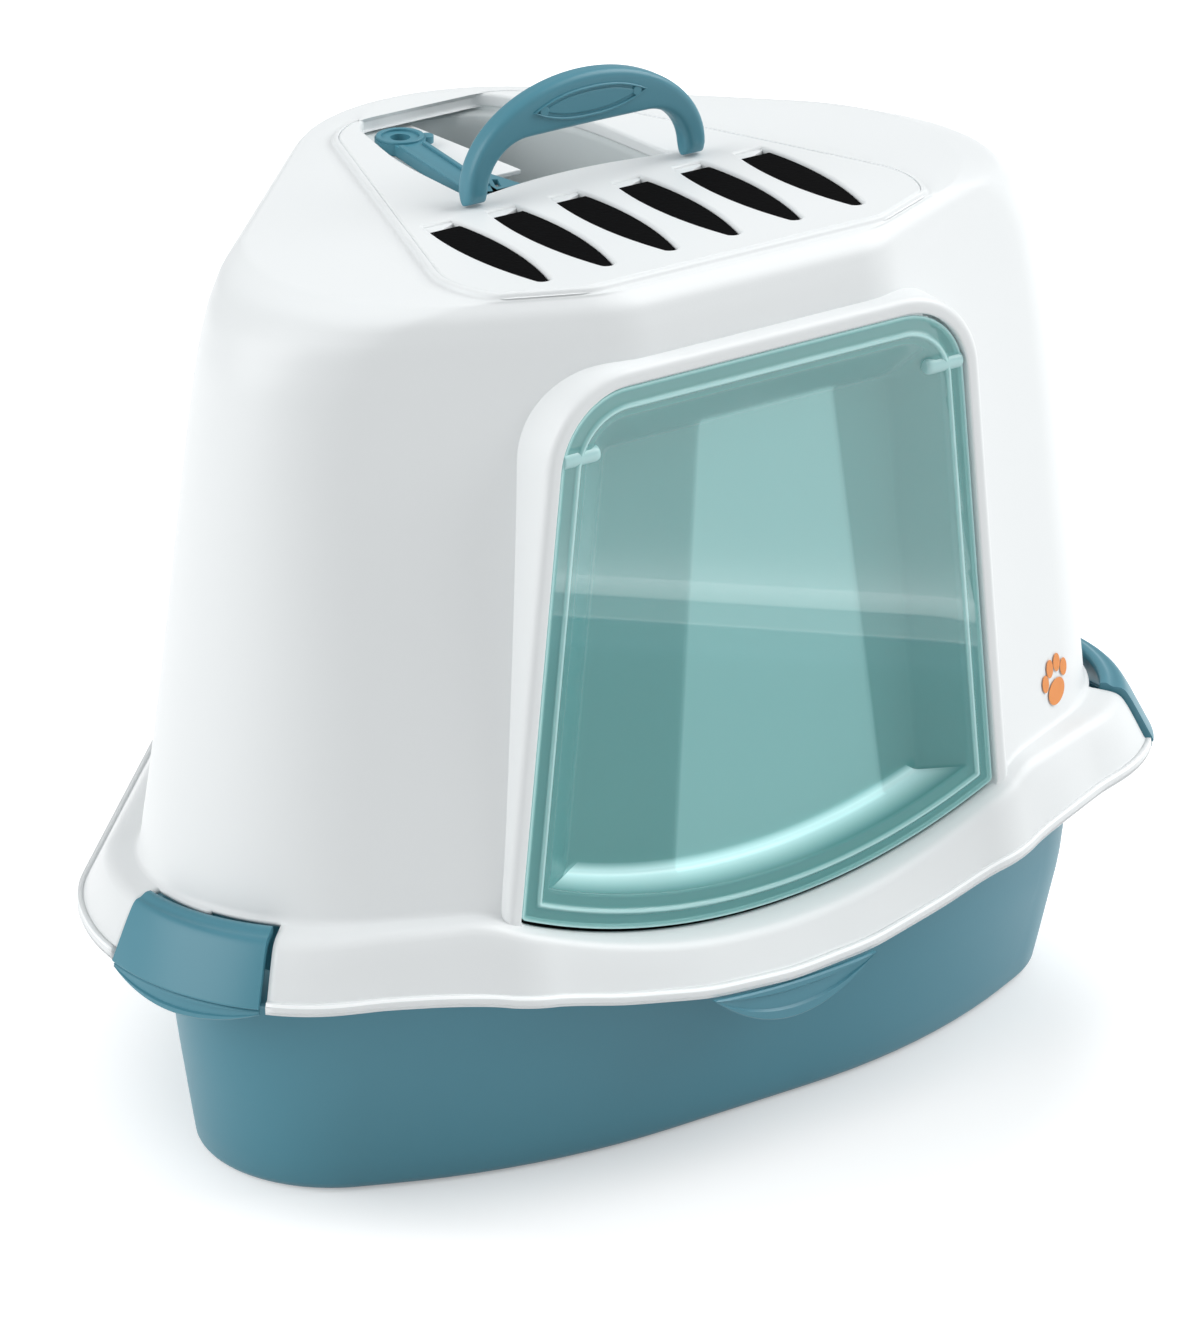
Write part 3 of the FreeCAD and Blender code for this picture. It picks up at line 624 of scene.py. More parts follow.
hood = {
    "levels": (
        (100.0, -210.8, 97.0, 96.0, 40.0, 96.0),
        (144.0, -210.2, 92.6, 90.8, 40.0, 90.6),
        (200.0, -208.6, 87.0, 83.0, 45.0, 84.5),
        (260.0, -207.0, 80.0, 75.5, 50.0, 78.0),
        (330.0, -205.0, 71.0, 67.0, 60.0, 69.0),
        (380.0, -204.0, 63.5, 61.0, 60.0, 64.0),
        (408.0, -202.5, 59.0, 57.3, 60.0, 64.5),
        (424.0, -199.5, 56.0, 54.3, 60.0, 71.0),
        (432.0, -195.8, 53.0, 51.5, 60.0, 80.0),
        (436.0, -190.5, 49.5, 48.0, 60.0, 92.0),
    ),
    "tableStep": 0.5,
    "wallRows": 60,
    "wallCrowd": 1.5,
    "joinFade": 0.12,
    "wall": 2.6,
    "frontY": -150.0,
    "filletRise": 9.0,
    "sillX": 150.0,
    "sillFade": 12.0,
    "sillIn": 5.0,
    "sillRise": 0.6,
    "holeMargin": 4.2,
    "roofShares": (0.04, 0.1, 0.2, 0.35, 0.55, 0.8, 1.0),
    "panelBaseZ": 437.0,
    "panelFoot": 2.2,
    "panelEdge": (
        (1.0, 437.3), (0.3, 437.9), (0.0, 438.8), (-0.5, 439.5),
        (-1.4, 439.9), (-2.6, 440.0), (-3.0, 438.0),
    ),
    "beadDrop": 5.2,
    "notchFrom": 2.6,
    "notchDegs": (-42.2, 3.0),
}
hoodLevels = np.array(hood["levels"])

panel = {
    "z": 440.0,
    "frontY": -187.0,
    "cornerR": 46.0,
    "sideX": 130.0,
    "sideY": -122.0,
    "sideDeg": 20.4,
    "backY": 78.0,
    "backR": 40.0,
    "centreY": -60.0,
    "thickness": 7.0,
    "edge": 1.6,
    "plateGrow": -2.6,
    "clear": 1.6,
    "soft": 0.6,
}


def panelHalf(grow):
    # Right half of the roof panel's outline, from front to back
    sideDeg = panel["sideDeg"]
    out = turned(sideDeg)
    line = panel["sideX"] * out[0] + panel["sideY"] * out[1] + grow
    front = panel["frontY"] - grow
    back = panel["backY"] + grow
    cornerR = panel["cornerR"] + grow
    backR = panel["backR"] + grow
    corner = np.array([(line - cornerR - (front + cornerR) * out[1]) / out[0], front + cornerR])
    far = np.array([(line - backR - (back - backR) * out[1]) / out[0], back - backR])
    return np.concatenate([
        np.linspace([0.0, front], [corner[0], front], 12, endpoint=False),
        corner + cornerR * turned(np.linspace(-90.0, sideDeg, 24, endpoint=False)),
        np.linspace(corner + cornerR * out, far + backR * out, 24, endpoint=False),
        far + backR * turned(np.linspace(sideDeg, 90.0, 20, endpoint=False)),
        np.linspace([far[0], back], [0.0, back], 9),
    ])


def panelAlong(loop, grow):
    # Panel outline met by the rays from its middle through each point of a loop, kept inside the loop
    centre = np.array([0.0, panel["centreY"]])
    outline = mirrorLoop(panelHalf(grow)) - centre
    rays = np.degrees(np.arctan2(*outline.T[::-1]))
    order = np.argsort(rays)
    wanted = np.degrees(np.arctan2(*(loop - centre).T[::-1]))
    limit = np.linalg.norm(loop - centre, axis=1) - panel["clear"] + 0.5 * grow
    met = np.interp(wanted, rays[order], np.linalg.norm(outline, axis=1)[order], period=360.0)
    soft = panel["soft"]
    least = np.minimum(met, limit) - soft * np.log1p(np.exp(-np.abs(met - limit) / soft))
    return centre + turned(wanted) * least[:, None]


roofLoop = mirrorLoop(planHalf(*hoodLevels[-1, 1:]))


def skirtSheet():
    # Rows from the skirt's inner lower edge up to the wall: an eased profile of offsets from the crease
    doorway = np.clip((hood["sillX"] - creaseHalf[:, 0]) / hood["sillFade"], 0, 1)
    doorway = np.where(creaseHalf[:, 1] < hood["frontY"], doorway, 0.0)
    rise = hood["filletRise"] * (1 - doorway) + hood["sillRise"] * doorway
    lean = -0.1 * hood["filletRise"] * (1 - doorway) - hood["sillIn"] * doorway
    w = widthHalf
    drop = creaseZHalf - edgeHalf
    bead = hood["beadDrop"]
    slope = 0.38 * w / (drop - 7.5)
    corners = (
        (w - skirt["wall"], 6.0 - drop, 0),
        (w - skirt["wall"] + 0.4, -drop, 0.8),
        (w, -drop, 1.2),
        (w + 0.2, bead - 0.6 - drop, 1.0),
        (w - slope * bead - 0.5, bead + 0.6 - drop, 1.2),
        (0.64 * w, -8.0, 7.0),
        (0.50 * w, -1.4, 6.0),
        (0.20 * w, 0.4, 3.0),
        (0.0 * w, 0.12 * rise + 0.5, 5.0),
        (lean, rise, 0),
    )
    points = np.array([np.stack(np.broadcast_arrays(out, up), -1) for out, up, radius in corners])
    rows = softPath(points, [radius for out, up, radius in corners], steps=5)
    offset = rows[..., 0]
    place = creaseHalf + halfOut * offset[..., None]
    return np.concatenate([place, (creaseZHalf + rows[..., 1])[..., None]], -1), offset


def hoodSheet():
    # Skirt, then the wall between the plan's levels, then the roof drawn in to the raised panel's edge
    skirtPart, offset = skirtSheet()
    heights, table = planTable(hood["levels"], hood["tableStep"])
    startZ = skirtPart[-1, :, 2]
    topZ = heights[-1]
    join = skirtPart[-1, :, :2] - tableAt(heights, table, startZ)
    rows = []
    for step in np.linspace(0, 1, hood["wallRows"] + 1)[1:]:
        share = 1 - (1 - step) ** hood["wallCrowd"]
        z = startZ + (topZ - startZ) * share
        fade = max(0.0, 1 - share / hood["joinFade"])
        rows.append(atHeight(tableAt(heights, table, z) + join * fade, z))
    full = mirrorLoop(np.concatenate([skirtPart, np.array(rows)]))
    last = full[-1, :, :2]
    near = panelAlong(last, hood["panelFoot"])
    roof = []
    for share in hood["roofShares"]:
        z = topZ + (hood["panelBaseZ"] - topZ) * math.sin(share * math.pi / 2)
        roof.append(atHeight(last + (near - last) * share, z))
    for grow, z in hood["panelEdge"]:
        roof.append(atHeight(panelAlong(last, grow), z))
    return np.concatenate([full, np.array(roof)]), len(skirtPart), offset


def buildHood():
    # The sheet without the faces of the doorway and of the notches for the latches
    grid, skirtCount, offset = hoodSheet()
    rows, cols = grid.shape[:2]
    faces = gridFaces(rows, cols, closeCols=True)
    points = grid.reshape(-1, 3)
    centres = points[faces].mean(axis=1)
    row = faces[:, 0] // cols
    col = faces[:, 0] % cols
    inSkirt = row < skirtCount - 1
    inFront = (centres[:, 1] < hood["frontY"]) & ~inSkirt
    doorHole = inFront & (doorMargin(centres) < hood["holeMargin"])
    half = len(halfDegs)
    sameCol = np.where(col < half - 1, col, 2 * half - 3 - col)  # the right half's column for the left half
    degs = (halfDegs[sameCol] + halfDegs[sameCol + 1]) / 2
    low, high = hood["notchDegs"]
    onLatch = (sameCol >= flankEnd - 1) & (degs > low) & (degs < high) & inSkirt
    rowOffset = (offset[:-1] + offset[1:]) / 2
    faceOffset = np.zeros(len(faces))
    faceOffset[inSkirt] = rowOffset[row[inSkirt], sameCol[inSkirt]]
    notch = onLatch & (faceOffset > hood["notchFrom"])
    mesh = makeMesh("hoodShell", points, faces[~(doorHole | notch)], outward=False)
    piece = addPiece("hoodShell", mesh, whiteFinish, "hood", sharpDeg=60)
    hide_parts("hood")
    # Inner side of the wall glows a little: painted light inside the hood
    mesh.materials.append(innerWhitePaintedLight)
    thicken(piece, hood["wall"]).material_offset = 1


buildHood()
print("hood made")


# Frame round the door

portal = {
    "gap": 1.5,
    "lowGap": 3.0,
    "rim": 9.0,
    "flare": 1.2,
    "faceY": -211.0,
    "wall": 2.6,
    "lipY": -206.5,
    "sink": 3.0,
    "shade": (0.2, 3.4, -206.0, 1.2),
}


def wallY(x, z):
    # Outer face of the hood's front at places seen from the front: the front plane or the flank's plane
    front = np.interp(z, hoodLevels[:, 0], hoodLevels[:, 1])
    flank = np.interp(z, hoodLevels[:, 0], hoodLevels[:, 2])
    out = turned(plan["flankDeg"])
    line = np.array(plan["wing"]) @ out + flank
    return np.maximum(front, (out[0] * np.abs(x) - line) / -out[1])


def buildPortal():
    # Eased profile of margin and depth carried round the door's outline, sunk into the wall at its back
    inner = portal["gap"]
    outer = portal["rim"]
    wallIn = outer - portal["wall"]
    loop = doorLoop(outer, outer, outer, 0.0)
    face = np.full(len(loop), portal["faceY"])
    lip = np.full(len(loop), portal["lipY"])
    back = np.maximum(wallY(loop[:, 0], loop[:, 2]) + portal["sink"], lip + 1.5)
    corners = (
        (inner, lip), (inner, face), (outer, face),
        (outer + portal["flare"], back), (wallIn, back), (wallIn, lip),
    )
    points = np.array([np.stack([np.full(len(loop), margin), depth], -1) for margin, depth in corners])
    rows = []
    for row in softPath(points, (0.4, 1.2, 4.5, 0.4, 0.4, 0.4), closed=True):
        margin = float(row[0, 0])
        rows.append(doorLoop(margin, margin, max(margin, portal["lowGap"]), row[:, 1]))
    grid = np.array(rows)
    mesh = makeMesh("doorFrame", grid, gridFaces(*grid.shape[:2], closeCols=True, closeRows=True))
    addPiece("doorFrame", mesh, whiteFinish, "hood", sharpDeg=60)


def buildShade():
    # Painted shade in the gap under the door: a black bar along the door's bottom arc stands in for its
    # shadow
    near, far, y, depth = portal["shade"]
    half = len(doorHalf(0.0, 0.0, 0.0))
    start = half - 1 - door["lowSteps"]
    loops = []
    for low, back in ((near, 0.0), (far, 0.0), (far, depth), (near, depth)):
        arc = mirrorLoop(doorHalf(0.0, 0.0, low))[start:2 * half - 1 - start]
        loops.append(atDepth(arc, y + back))
    addTube("gapShade", np.stack(loops, axis=1), foamAndShadeFinish, "hood")


buildPortal()
buildShade()
print("door frame made")


# Swing door: flat rim with a bead, then a pressed panel

doorPan = {
    "beadFrom": 7.0,
    "beadWidth": 4.0,
    "beadRise": 0.9,
    "sideStart": 14.0,
    "sideLean": 20.0,
    "lowStart": 17.0,
    "lowLean": 5.0,
    "depth": 15.0,
    "middleZ": 255.0,
    "middleShares": (0.75, 0.5, 0.25, 0.02),
    # Painted highlights: glow on the rim, the bead and the shelf
    "edgeGlow": 0.7,
    "beadGlow": 0.75,
    "shelfGlow": 0.9,
}


def buildDoor():
    # Eased profile of margins and depth carried round the outline, then drawn in to the middle
    face = door["faceY"]
    bead = doorPan["beadFrom"]
    wide = doorPan["beadWidth"]
    ridge = bead + 0.5 * wide
    floorY = face + doorPan["depth"]
    sideStart = doorPan["sideStart"]
    sideEnd = sideStart + doorPan["sideLean"]
    lowEnd = doorPan["lowStart"] + doorPan["lowLean"]
    corners = (
        (0.0, 0.0, 0.0, face + 1.2),
        (0.0, 0.0, 0.0, face),
        (-1.9, -1.9, -1.9, face),
        (-bead, -bead, -bead, face),
        (-ridge, -ridge, -ridge, face - 2 * doorPan["beadRise"]),
        (-bead - wide, -bead - wide, -bead - wide, face),
        (-sideStart, -sideStart, -doorPan["lowStart"], face),
        (-sideEnd, -sideEnd, -lowEnd, floorY),
        (-sideEnd - 6.0, -sideEnd - 6.0, -lowEnd - 6.0, floorY),
    )
    path = softPath(corners, (0, 0.8, 0.4, 1.0, 1.6, 1.0, 2.0, 3.0, 0))
    loops = [doorLoop(*row) for row in path]
    middle = np.array([0.0, floorY, doorPan["middleZ"]])
    loops += [middle + (loops[-1] - middle) * share for share in doorPan["middleShares"]]
    grid = np.array(loops)
    rows, cols = grid.shape[:2]
    middleFace = np.arange((rows - 1) * cols, rows * cols)
    faces = [*gridFaces(rows, cols, closeCols=True)[:, ::-1], middleFace[::-1]]
    mesh = makeMesh("clearDoor", grid, faces, outward=False)
    # The glow attribute marks the rim, the bead and the shelf along the bottom, where the clear material
    # paints highlights
    margin = np.concatenate([path[:, 0], np.full(rows - len(path), -99.0)])
    glow = np.zeros((rows, cols))
    glow += (np.exp(-((margin + 0.3) / 0.8) ** 2) * doorPan["edgeGlow"])[:, None]
    glow += (np.exp(-(margin + ridge) ** 2) * doorPan["beadGlow"])[:, None]
    onShelf = (margin < -sideStart - 3.0) & (margin > -sideEnd - 2.0)
    half = (cols + 2) // 2
    column = np.arange(cols)
    column = np.where(column < half, column, cols - column)
    atBottom = column >= half - 1 - door["lowSteps"]
    glow[onShelf] += np.where(atBottom, doorPan["shelfGlow"], 0.0)
    attribute = mesh.attributes.new("glow", "FLOAT", "POINT")
    attribute.data.foreach_set("value", np.clip(glow, 0, 1).ravel())
    piece = addPiece("clearDoor", mesh, (tealClear, "clear_teal"), "door", sharpDeg=60)
    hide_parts("swing_door")
    thicken(piece, door["wall"])


buildDoor()
print("door made")


# Roof panel with its air slots and the mouth of the pocket

vents = {
    "count": 6,
    "pitch": 36.3,
    "frontY": -165.0,
    "backY": -72.0,
    "wideY": -112.0,
    "half": 11.5,
    "backHalf": 8.0,
    "frontHalf": 3.2,
    "lean": -4.5,
    "foamTop": 438.7,
    "foamThick": 4.6,
    "foamGap": 0.5,
    "stepLong": 6.5,
    "stepTop": 438.4,
    "stepOver": 0.6,
    "edge": 0.3,
}
ventPlaces = vents["pitch"] * (np.arange(vents["count"]) - (vents["count"] - 1) / 2)

bay = {
    "frontY": -46.0,
    "footY": -54.0,
    "halfX": 57.5,
    "midX": 55.5,
    "midY": 12.0,
    "farX": 44.0,
    "farY": 60.0,
    "endY": 88.0,
    "wall": 2.2,
    "shelfZ": 430.0,
    "shelfThick": 3.0,
    "shelfEdge": 0.8,
    "shelfFrontY": -30.0,
    "shelfX": -4.0,
    "shelfLean": 6.0,
    "stepFromY": 20.0,
    "stepFade": 40.0,
    # Step back at the far end, inset all round, height
    "rows": (
        (0.0, -0.7, 436.0), (0.0, -0.7, 433.4), (0.6, -0.3, 431.6), (6.0, 0.0, 430.6),
        (7.4, 0.0, 429.4), (8.0, 0.0, 424.0), (8.0, 0.0, 390.0), (8.0, 0.0, 358.0),
        (8.0, 1.0, 354.0), (8.0, 4.0, 352.3), (8.0, 8.0, 352.0),
    ),
}


def ventLoop(x):
    # Lens between two arcs with a round front end, leaning aside towards the front
    front = vents["frontY"]
    tip = vents["frontHalf"]
    back = (vents["backHalf"], vents["backY"])
    right = arcThrough(back, (vents["half"], vents["wideY"]), (tip, front), 24)
    nose = arcThrough((tip, front), (0.0, front - tip / 2), (-tip, front), 9)
    left = right[::-1] * np.array([-1.0, 1.0])
    loop = np.concatenate([right, nose[1:-1], left])
    loop[:, 0] += x + vents["lean"] * (vents["backY"] - loop[:, 1]) / (vents["backY"] - front)
    return loop


def bayLoop(grow):
    # Mouth of the pocket: an arc at the front, one at the back and eased sides
    foot = (bay["halfX"] + grow, bay["footY"] - grow)
    far = (bay["farX"] + grow, bay["farY"])
    front = arcThrough((-foot[0], foot[1]), (0.0, bay["frontY"] - grow), foot, 31)
    back = arcThrough(far, (0.0, bay["endY"] + grow), (-far[0], far[1]), 31)
    side = softPath([front[-1], (bay["midX"] + grow, bay["midY"]), back[0]], (0, 20.0, 0))
    otherSide = (side * np.array([-1.0, 1.0]))[::-1]
    return np.concatenate([front[:-1], side[:-1], back[:-1], otherSide[:-1]])


def buildPanel():
    # Plate inside the raised edge, with the pocket's mouth and the slots as holes
    loops = [panelAlong(roofLoop, panel["plateGrow"]), bayLoop(0.0)]
    loops += [ventLoop(x) for x in ventPlaces]
    thickness = panel["thickness"]
    layPlate("roofPanel", loops, panel["z"], thickness, panel["edge"], whiteFinish, "hood", sharpDeg=50)


def buildSlots():
    # Filter foam standing up in each slot, darker than foam with painted shade, and the white step at the
    # slot's back end
    shrink = vents["foamGap"] / vents["half"]
    lens = ventLoop(0.0) * (1 - shrink)
    lens[:, 1] += (vents["frontY"] + vents["backY"]) / 2 * shrink
    lens[:, 1] = np.minimum(lens[:, 1], vents["backY"] - vents["stepLong"])
    wide = vents["backHalf"] + vents["stepOver"]
    near = vents["backY"] - vents["stepLong"] + 0.3
    far = vents["backY"] + vents["stepOver"]
    step = np.array([(-wide, near), (-2.0, near), (wide, far - 1.5), (wide, far), (-wide, far)])
    shifts = np.stack([ventPlaces, np.zeros(vents["count"])], -1)
    for name, loop, top, finish in (
        ("slotFoam", lens, vents["foamTop"], foamAndShadeFinish),
        ("slotSteps", step, vents["stepTop"], whiteFinish),
    ):
        loops = [loop + shift for shift in shifts]
        layPlate(name, loops, top, vents["foamThick"], vents["edge"], finish, "hood")


def buildPocket():
    # Mouth's outline carried down to the floor, and a shelf over its left side
    rows = []
    for step, inset, z in bay["rows"]:
        loop = bayLoop(-inset)
        loop[:, 1] -= step * np.clip((loop[:, 1] - bay["stepFromY"]) / bay["stepFade"], 0, 1)
        rows.append(atHeight(loop, z))
    grid = np.array(rows)
    count, cols = grid.shape[:2]
    faces = [*gridFaces(count, cols, closeCols=True), np.arange((count - 1) * cols, count * cols)]
    mesh = makeMesh("scoopPocket", grid, faces, outward=False)
    # Greyed walls: painted shade inside the pocket
    piece = addPiece("scoopPocket", mesh, (pocketWhitePaintedShade, "white_plastic"), "hood")
    thicken(piece, bay["wall"])
    outline = bayLoop(0.0)
    keep = outline[(outline[:, 0] < bay["shelfX"]) & (outline[:, 1] > bay["shelfFrontY"])]
    edge = keep[np.argsort(-keep[:, 1])]
    ends = np.array([[bay["shelfX"] + bay["shelfLean"], edge[-1, 1]], [bay["shelfX"], edge[0, 1]]])
    loops = [np.concatenate([edge, ends])]
    layPlate("scoopShelf", loops, bay["shelfZ"], bay["shelfThick"], bay["shelfEdge"], whiteFinish, "hood")


buildPanel()
buildSlots()
buildPocket()
print("roof made")


# Tray: outside, rim and inside in one closed sheet

tray = {
    "levels": (
        (14.0, -197.0, 72.0, 67.0, 355.0, 68.5),
        (60.0, -203.0, 82.0, 72.5, 350.0, 75.0),
        (140.0, -208.5, 90.5, 82.0, 340.0, 84.0),
    ),
    "middleY": -60.0,
    "rimRise": 3.5,
    "rimWall": 3.0,
    "rimInset": 6.5,
    "rimRound": 0.6,
    "wall": 2.8,
    "floor": 3.0,
    "bottomR": 6.5,
}


def buildTray():
    # Rows from the underside's middle out, up the wall, over the rim, down inside and back to the middle
    levels = np.array(tray["levels"])
    heights = np.arange(0.0, levels[-1, 0] + 1.0)
    sizes = np.stack([np.interp(heights, levels[:, 0], column) for column in levels.T[1:]], -1)
    ramp = (levels[1, 1:] - levels[0, 1:]) / (levels[1, 0] - levels[0, 0])
    below = heights < levels[0, 0]
    sizes[below] = levels[0, 1:] + (heights[below, None] - levels[0, 0]) * ramp
    table = np.array([planHalf(*row) for row in sizes])
    rimTop = edgeHalf + tray["rimRise"]
    rimLow = rimTop - tray["rimWall"]
    rimOut = creaseHalf + halfOut * (widthHalf - tray["rimInset"])[:, None]
    rimRound = tray["rimRound"]
    centre = np.array([0.0, tray["middleY"]])
    radius = tray["bottomR"]
    rows = []

    def wallAt(z, inset):
        return tableAt(heights, table, z) - halfOut * inset

    def cornerRows(floorZ, bend, inset, angles):
        # Quarter round from the floor into the wall
        for turn in np.radians(angles):
            z = floorZ + bend * (1 - math.cos(turn))
            flat = np.full(len(halfDegs), z)
            rows.append(atHeight(wallAt(flat, inset + bend * (1 - math.sin(turn))), z))

    base = wallAt(np.zeros(len(halfDegs)), radius)
    for share in (0.04, 0.5, 0.9):
        rows.append(atHeight(centre + (base - centre) * share, 0.0))
    cornerRows(0.0, radius, 0.0, np.linspace(0, 80, 9))
    for share in np.linspace(0.1, 1.0, 12):
        z = radius + (rimLow - radius) * share
        rows.append(atHeight(wallAt(z, 0.0), z))
    rows.append(atHeight(rimOut, rimLow))
    rows.append(atHeight(rimOut + halfOut * rimRound, rimLow + rimRound))
    rows.append(atHeight(rimOut + halfOut * rimRound, rimTop - rimRound))
    rows.append(atHeight(rimOut, rimTop))
    rows.append(atHeight(wallAt(rimTop, tray["wall"] - 1.5), rimTop))
    for share in (0.97, 0.85, 0.6, 0.35, 0.15):
        z = radius + (rimTop - radius) * share
        rows.append(atHeight(wallAt(z, tray["wall"]), z))
    cornerRows(tray["floor"], radius - tray["wall"], tray["wall"], np.linspace(80, 0, 7))
    for share in (0.6, 0.04):
        rows.append(atHeight(centre + (base - centre) * share, tray["floor"]))
    piece = addTube("trayShell", mirrorLoop(np.array(rows)), blueFinish, "tray", sharpDeg=50)
    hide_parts("litter_tray")


# Tabs of the tray and the latches over them

tabs = {
    "halfX": 48.0,
    "drop": 19.0,
    "wall": 2.6,
    "gap": 0.5,
    "latchDrop": 10.5,
    "latchEnd": 2.5,
    "proud": 1.6,
    "frontProud": 0.8,
    "steps": 60,
}

latch = {
    "degs": (-41.0, 0.5),
    "steps": 40,
    "proud": 2.4,
    "wall": 3.2,
    "start": 8.8,
    "lowZ": 121.6,
    "lipRise": 2.6,
}
sides = (("Right", 1.0), ("Left", -1.0))


def wingStation(degrees):
    # Crease point, outward direction and skirt width round the right wing
    out = turned(degrees)
    base = np.array(plan["wing"]) + out * skirt["crease"][-1]
    return base, out, np.interp(degrees, wingDegs, widthHalf[flankEnd:wingEnd])


def tabGrid(line, normals, tops, lows):
    # Lens-shaped tab along a line of plan points: an outer face with a sunk lens and rounded edges
    rows = []
    for base, normal, top, low in zip(line, normals, tops, lows):
        drop = max(top - low, 0.3)
        edge = min(0.8, drop * 0.4)
        sunk = min(1.2, 0.12 * drop)
        profile = np.array([
            (-tabs["wall"], top), (-edge, top), (0.0, top - edge),
            (0.0, top - 0.18 * drop), (-sunk, top - 0.24 * drop),
            (-sunk, top - 0.66 * drop), (0.0, top - 0.72 * drop),
            (0.0, low + edge), (-edge, low), (-tabs["wall"], low),
        ])
        rows.append(atHeight(base + normal * profile[:, :1], profile[:, 1]))
    return np.array(rows)


def buildTabs():
    # One tab under the skirt's dip at the front and one under each latch, with arched lower edges
    shares = np.linspace(-1, 1, tabs["steps"])
    arch = 1 - shares ** 2
    x = shares * tabs["halfX"]
    face = skirt["crease"][0] - skirt["frontWidths"][0][1] - tabs["frontProud"]
    tops = edgeDip(x) - tabs["gap"]
    lows = tops - 0.4 - (tabs["drop"] - 0.9) * arch
    line = np.stack([x, np.full(len(x), face)], -1)
    normals = np.tile([0.0, -1.0], (len(x), 1))
    addTube("frontTab", tabGrid(line, normals, tops, lows), blueFinish, "tray", sharpDeg=35)
    stations = [wingStation(degrees) for degrees in np.linspace(*latch["degs"], tabs["steps"])]
    line = np.array([base + out * (width + tabs["proud"]) for base, out, width in stations])
    normals = np.array([out for base, out, width in stations])
    tops = np.full(len(shares), latch["lowZ"] - tabs["gap"])
    lows = tops - tabs["latchEnd"] - (tabs["latchDrop"] - tabs["latchEnd"]) * arch
    right = tabGrid(line, normals, tops, lows)
    for side, flip in sides:
        addTube("tab" + side, right * np.array([flip, 1.0, 1.0]), blueFinish, "tray", sharpDeg=35)


def buildLatches():
    # Eased profile carried round the wing: a lip at the top, over the skirt and down to its edge
    rows = []
    start = latch["start"]
    lip = latch["lipRise"]
    outer = latch["proud"]
    inner = outer - latch["wall"]
    drop = skirt["creaseZ"] - latch["lowZ"]
    radii = (0.8, 1.2, 1.6, 2.4, 5.0, 6.0, 0.6, 0.6, 0.6, 3.0, 3.0, 1.0)
    for degrees in np.linspace(*latch["degs"], latch["steps"]):
        base, out, width = wingStation(degrees)
        corners = (
            (start, -1.6),
            (start, lip),
            (start + 3.6, lip + 0.2),
            (start + 6.2, 0.6),
            (0.54 * width + outer, 0.4),
            (0.67 * width + outer, -6.5),
            (width + outer, 0.8 - drop),
            (width + outer - 0.6, -drop),
            (width + inner, -drop),
            (0.64 * width + inner, -8.0),
            (0.5 * width + inner, -3.0),
            (start + 4.0, -2.4),
        )
        path = softPath(corners, radii, steps=4, closed=True)
        rows.append(atHeight(base + out * path[:, :1], skirt["creaseZ"] + path[:, 1]))
    grid = np.array(rows)
    for side, flip in sides:
        body = "latch_" + side.lower()
        flipped = grid * np.array([flip, 1.0, 1.0])
        piece = addTube("latchCover" + side, flipped, blueFinish, body, sharpDeg=50)
        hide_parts(body)


buildTray()
buildTabs()
buildLatches()
print("tray and latches made")


# Carry handle

handle = {
    "y": -62.5,
    "pivotZ": 447.2,
    "halfX": 69.5,
    "rise": 48.3,
    "leg": 11.5,
    "openingTop": 22.3,
    "openingR": 24.0,
    "depth": 12.0,
    "edge": 4.2,
    "steps": 90,
    "footShares": np.linspace(0.12, 1.0, 7)[:-1],
    "padHalf": (33.0, 7.6),
    "padZ": 481.5,
    "padThick": 3.0,
    "dotR": 2.6,
}


def handleInner(angle):
    # Distance along a ray to the opening's edge: its side, its top or the round corner between them
    inner = handle["halfX"] - handle["leg"]
    top = handle["openingTop"]
    radius = handle["openingR"]
    cx = inner - radius
    cz = top - radius
    dx = abs(math.cos(angle))
    dz = math.sin(angle)
    found = []
    if dx > 1e-6 and inner / dx * dz <= cz:
        found.append(inner / dx)
    if dz > 1e-6 and top / dz * dx <= cx:
        found.append(top / dz)
    if not found:
        along = dx * cx + dz * cz
        rest = along ** 2 - (cx * cx + cz * cz - radius ** 2)
        found.append(along + math.sqrt(max(rest, 0.0)))
    return min(found)


def handleOuter(angle):
    # Distance along a ray to the arch's outer edge, half an ellipse
    return 1 / math.hypot(math.cos(angle) / handle["halfX"], math.sin(angle) / handle["rise"])


def sectionLoop(halfA, halfB, edge):
    # Rectangle with eased corners and three more points along each side
    corners = ((-halfA, -halfB), (halfA, -halfB), (halfA, halfB), (-halfA, halfB))
    path = softPath(corners, [edge] * 4, closed=True).reshape(4, -1, 2)
    straights = np.linspace(path[:, -1], np.roll(path[:, 0], -1, axis=0), 4, endpoint=False, axis=1)
    return np.concatenate([path[:, :-1], straights], axis=1).reshape(-1, 2)


def buildHandle():
    # Sections along the arch between its inner and outer edge, with a round foot at each end
    half = handle["depth"] / 2

    def foot(side, share):
        z = handle["pivotZ"] - half * math.sqrt(max(1 - share ** 2, 0.0))
        middle = side * (handle["halfX"] - handle["leg"] / 2)
        loop = sectionLoop(handle["leg"] / 2, half * share, min(handle["edge"], half * share * 0.8))
        return atHeight(loop * np.array([side, 1.0]) + np.array([middle, handle["y"]]), z)

    rows = [foot(1.0, share) for share in handle["footShares"]]
    for angle in np.linspace(0, math.pi, handle["steps"]):
        near = handleInner(angle)
        far = handleOuter(angle)
        loop = sectionLoop((far - near) / 2, half, handle["edge"])
        reach = (far + near) / 2 + loop[:, 0]
        x = reach * math.cos(angle)
        z = handle["pivotZ"] + reach * math.sin(angle)
        rows.append(np.stack([x, handle["y"] + loop[:, 1], z], -1))
    rows += [foot(-1.0, share) for share in handle["footShares"][::-1]]
    piece = addTube("handleArch", np.array(rows), blueFinish, "handle", sharpDeg=60)
    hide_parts("carry_handle")


